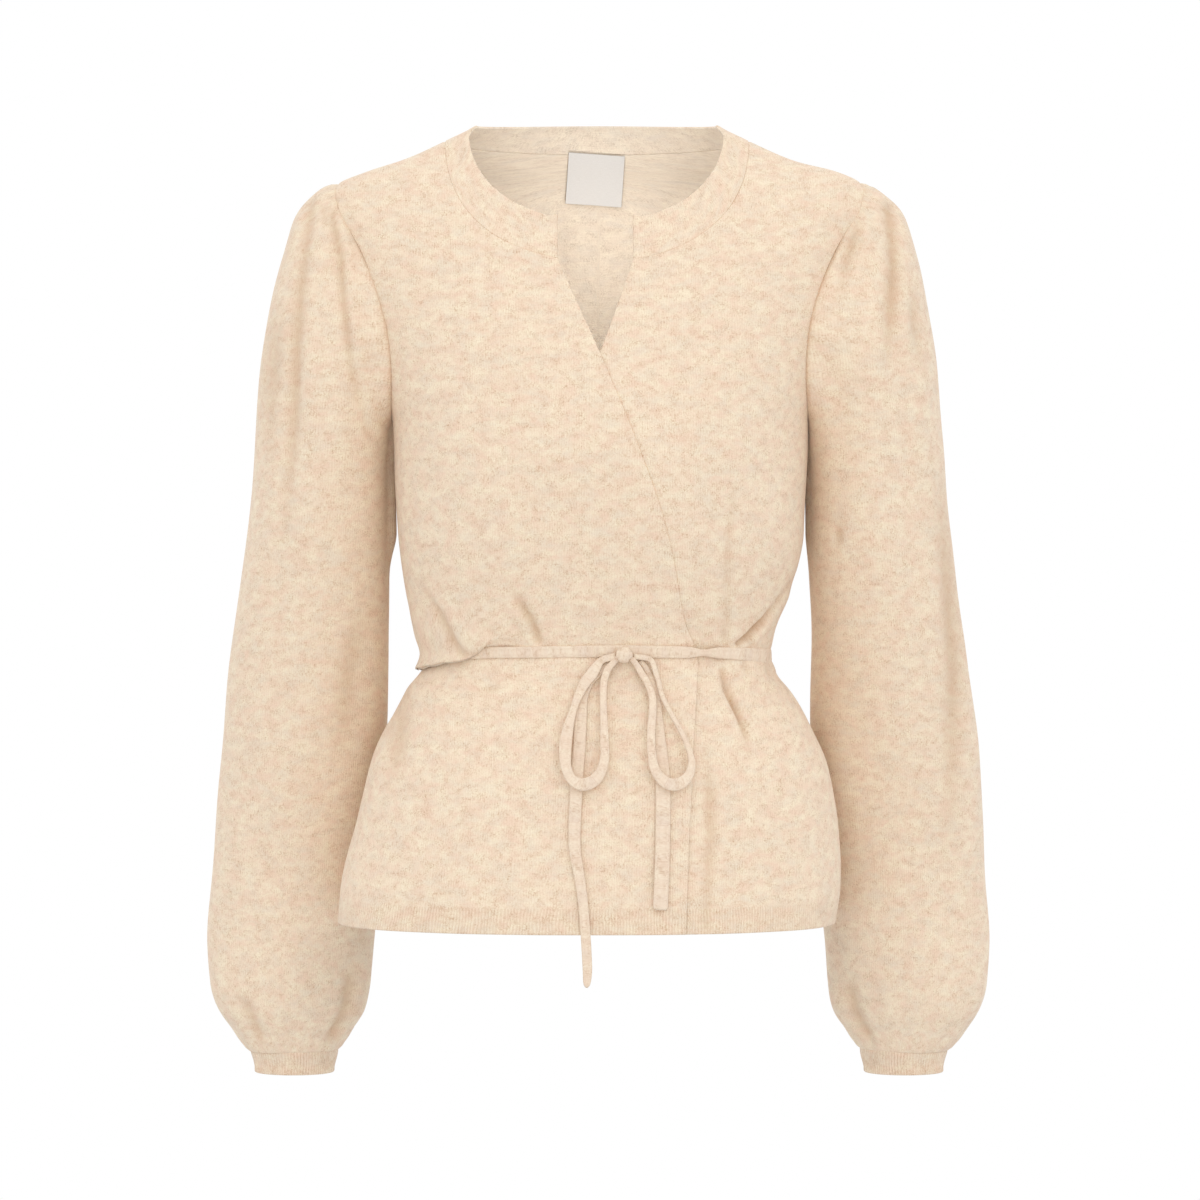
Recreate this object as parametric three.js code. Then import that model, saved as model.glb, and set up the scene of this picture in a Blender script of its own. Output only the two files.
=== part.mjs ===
// A wrap cardigan in fine brushed knit, filled out as it is when worn.
//
// Millimetres, +Z up. The front faces -Y and the wearer's right side is at -X. The origin is the
// middle of the neck, at the height where the neckband's free edge crosses the shoulder ridges.
//
// Body, neckband and waist tie all follow one middle surface, torso(angle, z): level sections of a
// rounded oval. The angle is 0 at the centre front, +90 degrees at the wearer's left side and 180
// at the centre back. Cloth is a wall laid half its thickness each way from such a surface.

import * as THREE from "three";
import { mergeVertices } from "three/addons/utils/BufferGeometryUtils.js";

// Cloth
const WALL = 2; // thickness of the knit
const SEAM = 0.3; // gap between two pieces that are sewn together
const LAP = WALL + 1.3; // how far the upper front stands outside the lower one
const HEM = -570; // height of the hem

// Level sections. right and left are half widths, front and back are depths from the line y.
const OVAL = 2.3; // exponent of the rounded oval, 2 would be an ellipse
const TORSO = [
  { z: 6, right: 76, left: 73, front: 20, back: 46, y: 0 },
  { z: 0, right: 87, left: 84, front: 23, back: 50, y: 0 },
  { z: -11, right: 110, left: 107, front: 27, back: 54, y: 0 },
  { z: -24, right: 139, left: 137, front: 31, back: 59, y: 0 },
  { z: -33, right: 168, left: 168, front: 36, back: 63, y: 0 },
  { z: -41, right: 186, left: 186, front: 43, back: 66, y: 0 },
  { z: -50, right: 193, left: 193, front: 49.5, back: 69, y: 0 },
  { z: -62, right: 195, left: 195, front: 57.5, back: 72, y: 0 },
  { z: -76, right: 191, left: 190, front: 66, back: 77, y: 0 },
  { z: -96, right: 183, left: 182, front: 77, back: 83, y: 0 },
  { z: -125, right: 173, left: 171, front: 90, back: 90, y: 0 },
  { z: -160, right: 161, left: 160, front: 103, back: 96, y: 0 },
  { z: -190, right: 153, left: 153, front: 112, back: 99, y: 0 },
  { z: -212, right: 147.6, left: 149, front: 117, back: 99, y: 0 },
  { z: -240, right: 145.4, left: 148, front: 120, back: 97, y: 0 },
  { z: -290, right: 144.4, left: 147, front: 114, back: 90, y: -2 },
  { z: -335, right: 138.5, left: 136, front: 103, back: 84, y: -3 },
  { z: -364, right: 131, left: 125, front: 94.5, back: 82, y: -4 },
  { z: -379, right: 126, left: 122.5, front: 92, back: 79, y: -5 },
  { z: -392, right: 130, left: 126, front: 93, back: 80, y: -6 },
  { z: -406, right: 137.5, left: 136, front: 97, back: 86, y: -8 },
  { z: -430, right: 150, left: 150, front: 102, back: 96, y: -11 },
  { z: -460, right: 163, left: 163, front: 106, back: 104, y: -15 },
  { z: -500, right: 174, left: 170, front: 109, back: 111, y: -19 },
  { z: -545, right: 184, left: 172, front: 111, back: 116, y: -23 },
  { z: HEM, right: 186, left: 169, front: 112, back: 118, y: -25 },
];

// Armhole: an egg seen from the side, cut through the body's surface.
const ARMHOLE = { top: -41, bottom: -209, front: 46, back: 50, egg: 0.35 };
const ARMHOLE_STEP = 20; // degrees between the points of an armhole

// Neck: two rounded curves seen from the front, at the neckband's free edge and at its seam.
const NECK_CURVE = 2.2;
const NECK_FREE = { right: 93.5, left: 89.5, top: 0, deep: 70 };
const NECK_SEAM = { right: 110, left: 107, top: -11, deep: 88.5 };
const NECK_TURN_IN = { by: 6, over: 10 }; // the free edge draws in at the top of the shoulder
const BACK_NECK_RISE = 3; // how much higher the free edge is at the centre back
const BACK_NECK_DIP = 6; // how much lower the band's seam is at the centre back
const NECK_CORNER = -98; // height at which the neckband ends and the wrap edge starts

// Free edge of the upper front, the wearer's right, and of the lower front: x at each height.
const WRAP = [
  { z: NECK_CORNER, upper: -29, lower: 24 },
  { z: -166, upper: 1, lower: 0 },
  { z: -226, upper: 26, lower: -25 },
  { z: -274, upper: 43, lower: -43 },
  { z: -305, upper: 51, lower: -52 },
  { z: -353, upper: 60, lower: -62 },
  { z: -380, upper: 68.6, lower: -71 },
  { z: -410, upper: 67.6, lower: -71 },
  { z: -442, upper: 65.6, lower: -71 },
  { z: -474, upper: 64.2, lower: -67 },
  { z: -506, upper: 62.4, lower: -66.4 },
  { z: HEM, upper: 60, lower: -65 },
];
const LAP_START = -132; // the upper front rises from its side seam's level between these x
const LAP_FULL = -86;

// Rows of the body's cloth: the shoulder, the neck's corner and everything under the armhole.
const SHOULDER_ROWS = [-11, -16, -22, -28, -35];
const NECK_ROWS = [-75, -92, NECK_CORNER];
const LOWER_ROWS = [
  -234, -262, -290, -314, -334, -351, -366, -379, -392, -402, -414, -436, -464, -498, -534, HEM,
];
const FRONT_COLUMNS = 8;
const BACK_COLUMNS = 12;

// Sleeve at the wearer's left, mirrored for the right. Each ring is an oval between an outer and an
// inner point; y is its middle's depth and deep its half depth from front to back.
const SLEEVE = [
  { row: 0, outX: 188, outZ: -39, inX: 151.5, inZ: -210, y: 1, deep: 48 },
  { row: 1, outX: 198, outZ: -42.5, inX: 151.5, inZ: -213, y: 1, deep: 51 },
  { row: 2, outX: 208, outZ: -50.5, inX: 151.2, inZ: -217, y: 2, deep: 53 },
  { row: 3, outX: 219.5, outZ: -64, inX: 150.8, inZ: -222, y: 3, deep: 55 },
  { row: 4, outX: 227.5, outZ: -90, inX: 150.6, inZ: -229, y: 4, deep: 56 },
  { row: 5, outX: 235.5, outZ: -126, inX: 151.8, inZ: -240, y: 6, deep: 57 },
  { row: 6, outX: 241.5, outZ: -168, inX: 152.4, inZ: -256, y: 9, deep: 56 },
  { row: 7, outX: 246.5, outZ: -222, inX: 152.6, inZ: -280, y: 13, deep: 54 },
  { row: 8, outX: 253, outZ: -284, inX: 153.4, inZ: -312, y: 18, deep: 52 },
  { row: 9, outX: 261.5, outZ: -350, inX: 154.4, inZ: -360, y: 27, deep: 50 },
  { row: 10, outX: 270, outZ: -415, inX: 154, inZ: -416, y: 39, deep: 49 },
  { row: 11, outX: 277.5, outZ: -480, inX: 155.5, inZ: -480, y: 52, deep: 49 },
  { row: 12, outX: 282, outZ: -542, inX: 161, inZ: -542, y: 63, deep: 49 },
  { row: 13, outX: 285.3, outZ: -592, inX: 166, inZ: -592, y: 67, deep: 48 },
  { row: 14, outX: 284, outZ: -622, inX: 168.5, inZ: -622, y: 67, deep: 46 },
  { row: 15, outX: 275.5, outZ: -647, inX: 173, inZ: -647, y: 66, deep: 41 },
  { row: 16, outX: 264.5, outZ: -663, inX: 182, inZ: -663, y: 64, deep: 34 },
  { row: 17, outX: 255, outZ: -670, inX: 191.5, inZ: -670, y: 63, deep: 28 },
];
const SLEEVE_COLUMNS = 30;
const SLEEVE_RINGS = [0, 1, 2, 3, 4, 5, 6.3, 7.7, 9, 10.5, 12, 13, 14, 15, 16, 17];
// The back of each sleeve swells toward the body below the underarm. angle is as for the gathers;
// the swell comes in and goes out between these rows.
const SWELL = { angle: 330, width: 15, depth: 10, from: 3.5, full: 4.5, ebb: 7.6, gone: 9.2 };
const ARMHOLE_REACH = 5; // rows over which the armhole's own outline fades into the ovals
const SLEEVE_STAND = WALL + 0.5; // how far the sleeve's edge stands outside the body's edge

// Gathers of the sleeve head: troughs that fan out from the armhole seam. angle is degrees around
// the sleeve, 0 at the underarm, 90 at the front, 180 outside; reach is in rows of the table.
const GATHERS = [
  { angle: 62, depth: 3.4, width: 11, reach: 5 },
  { angle: 92, depth: 1.8, width: 9, reach: 3 },
  { angle: 114, depth: 4.2, width: 12, reach: 8 },
  { angle: 146, depth: 2.4, width: 9, reach: 3 },
  { angle: 172, depth: 3.2, width: 10, reach: 4 },
  { angle: 204, depth: 2.6, width: 10, reach: 3 },
  { angle: 236, depth: 3.8, width: 12, reach: 6 },
  { angle: 268, depth: 1.8, width: 9, reach: 3 },
  { angle: 296, depth: 3.0, width: 11, reach: 5 },
];

// Cuff: a short ribbed tube that the sleeve is gathered into.
const CUFF = [
  { z: -671.2, outX: 254.4, inX: 192.2, deep: 27.6 },
  { z: -679, outX: 253, inX: 193, deep: 26.8 },
  { z: -687.5, outX: 252.5, inX: 194, deep: 26.5 },
];
const CUFF_Y = 63;

// Waist tie: a soft flat strap round the waist, its bow and its two tails.
const TIE = { wide: 8.6, thick: 2.2, side: -382, front: -373, stand: 1.2 };
const TIE_STEPS = 44;
const LOOSE = { wide: 8.6, thick: 2.6 }; // the strap where it hangs free
const LOOSE_SIDES = 8;
const STACK = 0.4; // gap between two layers of strap that lie on each other
const KNOT = { x: 17, z: -375, wide: 13, high: 11.5, thick: 7.5 };

// Routes of the free ends on the front: x, z, and how much of the strap's width shows there.
const LOOP_AT_RIGHT = [
  { x: 1.2, z: -381, wide: 0.6 }, { x: -2.6, z: -387, wide: 0.85 }, { x: -8, z: -397, wide: 0.95 },
  { x: -14, z: -407.5, wide: 0.7 }, { x: -17.7, z: -417.8, wide: 0.6 },
  { x: -20.2, z: -426, wide: 0.8 }, { x: -22.2, z: -436, wide: 1 },
  { x: -23.1, z: -446.5, wide: 1 }, { x: -22, z: -456.8, wide: 0.85 },
  { x: -18.4, z: -464, wide: 0.85 }, { x: -11.4, z: -467.2, wide: 1.05 },
  { x: -4, z: -465, wide: 1 }, { x: 1.6, z: -458, wide: 0.85 }, { x: 4, z: -448.8, wide: 0.75 },
  { x: 3.8, z: -438.5, wide: 0.7 }, { x: 3.5, z: -427, wide: 0.62 },
  { x: 3, z: -415.5, wide: 0.56 }, { x: 3, z: -404, wide: 0.56 }, { x: 3.9, z: -395, wide: 0.6 },
  { x: 6, z: -387.5, wide: 0.6 }, { x: 9.6, z: -382.4, wide: 0.5 },
];
const LOOP_AT_LEFT = [
  { x: 35.4, z: -380.6, wide: 0.45 }, { x: 37.6, z: -387, wide: 0.45 },
  { x: 39.8, z: -396.5, wide: 0.4 }, { x: 42.4, z: -407, wide: 0.38 },
  { x: 47, z: -417, wide: 0.38 }, { x: 52.6, z: -427, wide: 0.38 },
  { x: 57.4, z: -436.2, wide: 0.42 }, { x: 61, z: -445.4, wide: 0.48 },
  { x: 62.6, z: -454.5, wide: 0.6 }, { x: 60.3, z: -461.8, wide: 0.8 },
  { x: 54.8, z: -466.8, wide: 1 }, { x: 48, z: -467.4, wide: 1 }, { x: 42, z: -463.7, wide: 0.9 },
  { x: 37.6, z: -456.8, wide: 0.78 }, { x: 35.8, z: -448, wide: 0.7 },
  { x: 35.2, z: -438.5, wide: 0.67 }, { x: 35.5, z: -428.5, wide: 0.65 },
  { x: 36.4, z: -418, wide: 0.62 }, { x: 36.2, z: -408, wide: 0.6 },
  { x: 32.4, z: -398, wide: 0.55 }, { x: 28, z: -388.6, wide: 0.55 },
  { x: 24, z: -381.4, wide: 0.45 },
];
const TAIL_AT_RIGHT = [
  { x: 8, z: -383, wide: 0.45 }, { x: -3, z: -392.5, wide: 0.7 }, { x: -11, z: -406, wide: 0.9 },
  { x: -12.6, z: -422, wide: 1 }, { x: -13.5, z: -440, wide: 1 }, { x: -14.9, z: -458, wide: 1 },
  { x: -15.9, z: -476, wide: 1 }, { x: -16.8, z: -494, wide: 1 }, { x: -16.5, z: -512, wide: 0.95 },
  { x: -13.5, z: -530, wide: 0.85 }, { x: -11, z: -548, wide: 0.8 }, { x: -9.5, z: -566, wide: 0.8 },
  { x: -8.5, z: -582, wide: 0.8 }, { x: -8, z: -596, wide: 0.75 }, { x: -8.5, z: -606, wide: 0.55 },
];
const TAIL_AT_LEFT = [
  { x: 28.5, z: -380.6, wide: 0.4 }, { x: 32.5, z: -386.5, wide: 0.5 },
  { x: 35.8, z: -394.5, wide: 0.5 }, { x: 38.5, z: -403.5, wide: 0.55 },
  { x: 40.2, z: -414, wide: 0.6 }, { x: 41, z: -425, wide: 0.75 }, { x: 41.9, z: -437, wide: 0.9 },
  { x: 43, z: -450, wide: 1.05 }, { x: 43.8, z: -462, wide: 1.15 }, { x: 44, z: -474, wide: 1.2 },
  { x: 43.9, z: -488, wide: 1.2 }, { x: 43.7, z: -504, wide: 1.2 }, { x: 43.3, z: -520, wide: 1.2 },
  { x: 42.7, z: -536, wide: 1.2 }, { x: 42, z: -553, wide: 1.2 },
];

// Neck label: a plain woven square on the inside of the back, under the band's seam.
const LABEL = { x: -1.6, top: -16, wide: 41, high: 36.5, thick: 1, tilt: 4, stand: 0.9, hang: 1 };

const KNIT = { color: 0xead3b9, roughness: 0.95, metalness: 0 };
const STRAP = { color: 0xeedcc6, roughness: 0.9, metalness: 0 };
const WOVEN = { color: 0xe9e2d6, roughness: 0.7, metalness: 0 };

const RADIANS = Math.PI / 180;
const { lerp, clamp, smoothstep } = THREE.MathUtils;

/** One column of a table on a smooth curve through its rows, which never overshoots them. */
function column(table, name, place, key = "z") {
  const rows = table[0][key] < table[table.length - 1][key] ? table : [...table].reverse();
  const steps = rows.slice(1).map((row, i) => ({
    run: row[key] - rows[i][key],
    slope: (row[name] - rows[i][name]) / (row[key] - rows[i][key]),
  }));
  const slopeAt = (i) => {
    if (i === 0) return steps[0].slope;
    if (i === steps.length) return steps[i - 1].slope;
    const before = steps[i - 1];
    const after = steps[i];
    if (before.slope * after.slope <= 0) return 0;
    const first = 2 * after.run + before.run;
    const second = after.run + 2 * before.run;
    return (first + second) / (first / before.slope + second / after.slope);
  };
  const spot = clamp(place, rows[0][key], rows[rows.length - 1][key]);
  const found = rows.findIndex((row, i) => i > 0 && spot <= row[key]);
  const i = found - 1;
  const { run } = steps[i];
  const t = (spot - rows[i][key]) / run;
  const ease = t * t * (3 - 2 * t);
  return (
    lerp(rows[i][name], rows[i + 1][name], ease) +
    run * t * (1 - t) * ((1 - t) * slopeAt(i) - t * slopeAt(i + 1))
  );
}

const widthAt = (angle, z) => column(TORSO, Math.sin(angle) < 0 ? "right" : "left", z);
const depthAt = (angle, z) => column(TORSO, Math.cos(angle) > 0 ? "front" : "back", z);

/** The point of the body's middle surface at an angle and a height. */
function torso(angle, z) {
  const s = Math.sin(angle);
  const c = Math.cos(angle);
  const size = (Math.abs(s) ** OVAL + Math.abs(c) ** OVAL) ** (-1 / OVAL);
  const x = widthAt(angle, z) * s * size;
  const y = column(TORSO, "y", z) - depthAt(angle, z) * c * size;
  return new THREE.Vector3(x, y, z);
}

/** The other coordinate of the unit oval. */
const across = (share) => Math.max(0, 1 - Math.abs(share) ** OVAL) ** (1 / OVAL);

/** The angle at which the front (facing 1) or the back (facing -1) has this x at height z. */
function angleAtX(x, z, facing = 1) {
  const share = clamp(x / column(TORSO, x < 0 ? "right" : "left", z), -1, 1);
  return Math.atan2(share, facing * across(share));
}

/** The outward normal of a surface at two parameters, from small steps along each. */
function normalOf(surface, u, v, du, dv) {
  const alongU = surface(u + du, v).sub(surface(u - du, v));
  const alongV = surface(u, v + dv).sub(surface(u, v - dv));
  return alongU.cross(alongV).normalize();
}

const torsoNormal = (angle, z) => normalOf(torso, angle, z, 0.01, Math.min(1, (5 - z) / 2));

/** A spot of cloth: its place on the middle surface, and the way out. */
function onTorso(angle, z, lift = 0) {
  const out = torsoNormal(angle, z);
  return { at: torso(angle, z).addScaledVector(out, lift), out };
}

/** A closed solid from corner points and faces; merged, with collapsed faces dropped. */
function solid(corners, faces) {
  const raw = new THREE.BufferGeometry();
  raw.setAttribute("position", new THREE.Float32BufferAttribute(corners.flatMap((p) => p.toArray()), 3));
  raw.setIndex(faces.flat());
  const merged = mergeVertices(raw, 1e-3);
  const index = merged.getIndex().array;
  const place = merged.getAttribute("position");
  const kept = [];
  for (let i = 0; i < index.length; i += 3) {
    const [a, b, c] = index.slice(i, i + 3);
    if (a !== b && b !== c && c !== a) kept.push([a, b, c]);
  }
  const point = (i) => new THREE.Vector3().fromBufferAttribute(place, i);
  const volume = kept.reduce((sum, [a, b, c]) => sum + point(a).dot(point(b).cross(point(c))), 0);
  merged.setIndex(kept.flatMap(([a, b, c]) => (volume > 0 ? [a, b, c] : [a, c, b])));
  merged.computeVertexNormals();
  return merged;
}

/** A wall of cloth over rows of spots. Around joins each row's end to its start, as on a tube. */
function wall(rows, { around = false, thick = WALL } = {}) {
  const columns = rows[0].length;
  const bottom = rows.length - 1;
  const corners = [0.5, -0.5].flatMap((side) =>
    rows.flatMap((row) => row.map(({ at, out }) => at.clone().addScaledVector(out, side * thick))),
  );
  const spot = (side, r, c) => (side * rows.length + r) * columns + (c % columns);
  const faces = [];
  const quad = (a, b, c, d) => faces.push([a, b, c], [a, c, d]);
  const last = around ? columns : columns - 1;
  for (let c = 0; c < last; c++) {
    for (let r = 0; r < bottom; r++) {
      quad(spot(0, r, c), spot(0, r + 1, c), spot(0, r + 1, c + 1), spot(0, r, c + 1));
      quad(spot(1, r, c), spot(1, r, c + 1), spot(1, r + 1, c + 1), spot(1, r + 1, c));
    }
    quad(spot(0, 0, c), spot(0, 0, c + 1), spot(1, 0, c + 1), spot(1, 0, c));
    quad(spot(0, bottom, c), spot(1, bottom, c), spot(1, bottom, c + 1), spot(0, bottom, c + 1));
  }
  for (let r = 0; r < bottom && !around; r++) {
    quad(spot(0, r, 0), spot(1, r, 0), spot(1, r + 1, 0), spot(0, r + 1, 0));
    quad(spot(0, r, last), spot(0, r + 1, last), spot(1, r + 1, last), spot(1, r, last));
  }
  return solid(corners, faces);
}

/** A strap along spots, with an oval section: wide along the cloth, thick away from it. */
function strap(spots, { closed = false } = {}) {
  const count = spots.length;
  const corners = spots.flatMap(({ at, out, wide, thick }, i) => {
    const before = spots[closed ? (i + count - 1) % count : Math.max(i - 1, 0)].at;
    const after = spots[closed ? (i + 1) % count : Math.min(i + 1, count - 1)].at;
    const along = after.clone().sub(before).normalize();
    const side = along.clone().cross(out).normalize();
    const up = side.clone().cross(along);
    return Array.from({ length: LOOSE_SIDES }, (_, k) => {
      const turn = ((k + 0.5) * 2 * Math.PI) / LOOSE_SIDES;
      const reach = 1 / Math.cos(Math.PI / LOOSE_SIDES);
      return at
        .clone()
        .addScaledVector(side, (wide / 2) * reach * Math.cos(turn))
        .addScaledVector(up, (thick / 2) * reach * Math.sin(turn));
    });
  });
  const faces = [];
  const spot = (i, k) => (i % count) * LOOSE_SIDES + (k % LOOSE_SIDES);
  for (let i = 0; i < (closed ? count : count - 1); i++) {
    for (let k = 0; k < LOOSE_SIDES; k++) {
      faces.push([spot(i, k), spot(i, k + 1), spot(i + 1, k + 1)]);
      faces.push([spot(i, k), spot(i + 1, k + 1), spot(i + 1, k)]);
    }
  }
  for (let k = 1; k < LOOSE_SIDES - 1 && !closed; k++) {
    faces.push([spot(0, 0), spot(0, k + 1), spot(0, k)]);
    faces.push([spot(count - 1, 0), spot(count - 1, k), spot(count - 1, k + 1)]);
  }
  return solid(corners, faces);
}

// ---------------------------------------------------------------- the body's rows and edges

const armholeMiddle = (ARMHOLE.top + ARMHOLE.bottom) / 2;
const armholeHalf = (ARMHOLE.top - ARMHOLE.bottom) / 2;
const armholeHeight = (turn) => armholeMiddle - armholeHalf * Math.cos(turn);

/** The angle of the armhole's edge at a height, on the front (facing 1) or the back (-1). */
function armholeAngle(z, side, facing) {
  const drop = clamp((armholeMiddle - z) / armholeHalf, -1, 1);
  const reach = Math.sqrt(1 - drop * drop) * (1 + ARMHOLE.egg * drop);
  const deep = facing > 0 ? ARMHOLE.front : ARMHOLE.back;
  const share = (deep * reach) / column(TORSO, facing > 0 ? "front" : "back", z);
  return Math.atan2(side * across(share), facing * share);
}

const armholeRows = [];
for (let turn = 180; turn >= 0; turn -= ARMHOLE_STEP) armholeRows.push(armholeHeight(turn * RADIANS));
const BODY_ROWS = [...SHOULDER_ROWS, ...armholeRows, ...NECK_ROWS, ...LOWER_ROWS].sort((a, b) => b - a);

/** The angle at which a panel ends at the side, with half a seam's gap: ridge, armhole or side. */
function sideEdge(z, side, facing) {
  const gap = (SEAM / 2 / column(TORSO, facing > 0 ? "front" : "back", z)) * side * facing;
  return armholeAngle(z, side, facing) - gap;
}

/** The x of the neckband's seam on the front at height z. */
function neckSeamX(z, side) {
  const drop = clamp((NECK_SEAM.top - z) / NECK_SEAM.deep, 0, 1);
  return side * (side < 0 ? NECK_SEAM.right : NECK_SEAM.left) * (1 - drop ** NECK_CURVE) ** (1 / NECK_CURVE);
}

const wrapX = (z, side) => column(WRAP, side < 0 ? "upper" : "lower", z);

/** The angle of a front's free side at height z: the neck seam, then the wrap edge. */
function frontEdge(z, side) {
  const x = z > NECK_CORNER ? neckSeamX(z, side) : wrapX(z, side);
  return angleAtX(x, z);
}

/** How far the upper front stands out at this x and height, to clear the lower front. */
function lapLift(x, z) {
  const across = smoothstep(x, LAP_START, LAP_FULL);
  const down = smoothstep(NECK_CORNER - z, 0, 60);
  return LAP * across * down;
}

/** A column's angle: even from the side seam to the end, but drawn in to start near the armhole. */
function spread(side, start, end, share) {
  return lerp(side, end, share) + (start - side) * (1 - share) ** 2;
}

/** One front, side -1 for the wearer's right, which lies on top. */
function frontPanel(side) {
  const rows = BODY_ROWS.map((z) => {
    const start = sideEdge(z, side, 1);
    const end = frontEdge(z, side);
    return Array.from({ length: FRONT_COLUMNS + 1 }, (_, c) => {
      const angle = z === BODY_ROWS[0] ? start : spread(side * 90 * RADIANS, start, end, c / FRONT_COLUMNS);
      return onTorso(angle, z, side < 0 ? lapLift(torso(angle, z).x, z) : 0);
    });
  });
  return wall(rows);
}

/** How far a row near the back neck dips below its level at this angle. */
function backDip(angle, row) {
  const fade = 1 - row / SHOULDER_ROWS.length;
  return row < SHOULDER_ROWS.length ? BACK_NECK_DIP * Math.cos(angle) ** 2 * fade : 0;
}

function backAngle(z, c) {
  const side = c < BACK_COLUMNS / 2 ? 1 : -1;
  const start = sideEdge(z, side, -1) + (side < 0 ? 2 * Math.PI : 0);
  const share = Math.min(c, BACK_COLUMNS - c) / (BACK_COLUMNS / 2);
  return spread((180 - side * 90) * RADIANS, start, Math.PI, share);
}

function backPanel() {
  const rows = BODY_ROWS.map((z, row) =>
    Array.from({ length: BACK_COLUMNS + 1 }, (_, c) => {
      const angle = backAngle(z, c);
      return onTorso(angle, z - backDip(angle, row));
    }),
  );
  return wall(rows);
}

// ---------------------------------------------------------------- neckband

/** A spot of the band, share 0 at its seam and 1 at its free edge. */
function bandSpot(seam, free, share) {
  return onTorso(lerp(seam.angle, free.angle, share), lerp(seam.z, free.z, share));
}

/** The band's two edges on one front, from its corner up to the shoulder. */
function bandFront(side) {
  const curveTurn = (share) => Math.acos(clamp(share, 0, 1) ** (NECK_CURVE / 2));
  const half = side < 0 ? "right" : "left";
  const corner = Math.abs(wrapX(NECK_CORNER, side));
  const cornerSeam = curveTurn(corner / NECK_SEAM[half]);
  const cornerFree = curveTurn(corner / NECK_FREE[half]);
  const rows = BODY_ROWS.filter((z) => z >= NECK_CORNER && z < NECK_SEAM.top).reverse();
  return rows.map((z) => {
    const x = z > NECK_CORNER ? neckSeamX(z, side) : wrapX(z, side);
    const turn = (curveTurn(Math.abs(x) / NECK_SEAM[half]) * cornerFree) / cornerSeam;
    const freeZ = NECK_FREE.top - NECK_FREE.deep * Math.sin(turn) ** (2 / NECK_CURVE);
    const drawnIn = NECK_TURN_IN.by * Math.max(0, 1 + freeZ / NECK_TURN_IN.over) ** 2;
    const freeX = side * (NECK_FREE[half] * Math.cos(turn) ** (2 / NECK_CURVE) - drawnIn);
    return { seam: { angle: angleAtX(x, z), z }, free: { angle: angleAtX(freeX, freeZ), z: freeZ } };
  });
}

function neckband() {
  const shift = (edge, turn) => ({
    seam: { ...edge.seam, angle: edge.seam.angle + turn },
    free: { ...edge.free, angle: edge.free.angle + turn },
  });
  const right = bandFront(-1).map((edge) => shift(edge, 2 * Math.PI));
  const left = bandFront(1).reverse();
  const back = Array.from({ length: BACK_COLUMNS + 1 }, (_, c) => {
    const angle = lerp(1.5 * Math.PI, 0.5 * Math.PI, c / BACK_COLUMNS);
    const middle = Math.cos(angle) ** 2;
    return {
      seam: { angle, z: NECK_SEAM.top - BACK_NECK_DIP * middle },
      free: { angle, z: NECK_FREE.top + BACK_NECK_RISE * middle },
    };
  });
  const edges = [...right, ...back, ...left];
  const rows = [0.045, 0.5, 1].map((share) => edges.map(({ seam, free }) => bandSpot(seam, free, share)));
  return wall(rows);
}

// ---------------------------------------------------------------- sleeves and cuffs

/** The armhole's edge on the body at a turn round it, 0 at the underarm and 90 degrees in front. */
function armholeSpot(turn, side) {
  const facing = Math.sin(turn) >= 0 ? 1 : -1;
  const z = armholeHeight(turn);
  return onTorso(armholeAngle(z, side, facing), z);
}

/** How much the gathers take off the sleeve's radius. */
function gatherDepth(turn, row) {
  const degrees = turn / RADIANS;
  return GATHERS.reduce((sum, { angle, depth, width, reach }) => {
    const start = smoothstep(row, -0.5, 1);
    const end = 1 - smoothstep(row, reach * 0.4, reach * 1.6);
    return sum + depth * start * end * Math.exp(-(((degrees - angle) / width) ** 2));
  }, 0);
}

/** How far the back of the sleeve swells toward the body. */
function swell(turn, row) {
  const start = smoothstep(row, SWELL.from, SWELL.full);
  const end = 1 - smoothstep(row, SWELL.ebb, SWELL.gone);
  const round = Math.exp(-(((turn / RADIANS - SWELL.angle) / SWELL.width) ** 2));
  return SWELL.depth * start * end * round;
}

/** The sleeve's middle surface: turn round it, and row down it, which may be between two rows. */
function sleevePoint(turn, row, side) {
  const ring = (name, at = row) => column(SLEEVE, name, at, "row");
  const oval = (at) => {
    const swing = Math.cos(turn);
    const x = lerp(ring("outX", at), ring("inX", at), (1 + swing) / 2);
    const z = lerp(ring("outZ", at), ring("inZ", at), (1 + swing) / 2);
    return new THREE.Vector3(side * x, ring("y", at) - ring("deep", at) * Math.sin(turn), z);
  };
  const edge = armholeSpot(turn, side);
  const own = edge.at.addScaledVector(edge.out, SLEEVE_STAND).sub(oval(0));
  const point = oval(row).addScaledVector(own, 1 - smoothstep(row, 0, ARMHOLE_REACH));
  point.x -= side * swell(turn, row);
  const middle = oval(row);
  const centre = new THREE.Vector3(
    (side * (ring("outX") + ring("inX"))) / 2,
    ring("y"),
    (ring("outZ") + ring("inZ")) / 2,
  );
  return point.addScaledVector(middle.sub(centre).normalize(), -gatherDepth(turn, row));
}

function sleeve(side) {
  const surface = (turn, row) => sleevePoint(turn, clamp(row, 0, SLEEVE.length - 1), side);
  const rows = SLEEVE_RINGS.map((row) =>
    Array.from({ length: SLEEVE_COLUMNS }, (_, c) => {
      const turn = (c / SLEEVE_COLUMNS) * 2 * Math.PI;
      const out = normalOf(surface, turn, row, 0.02, 0.1).multiplyScalar(side);
      return { at: surface(turn, row), out };
    }),
  );
  return wall(rows, { around: true });
}

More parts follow.
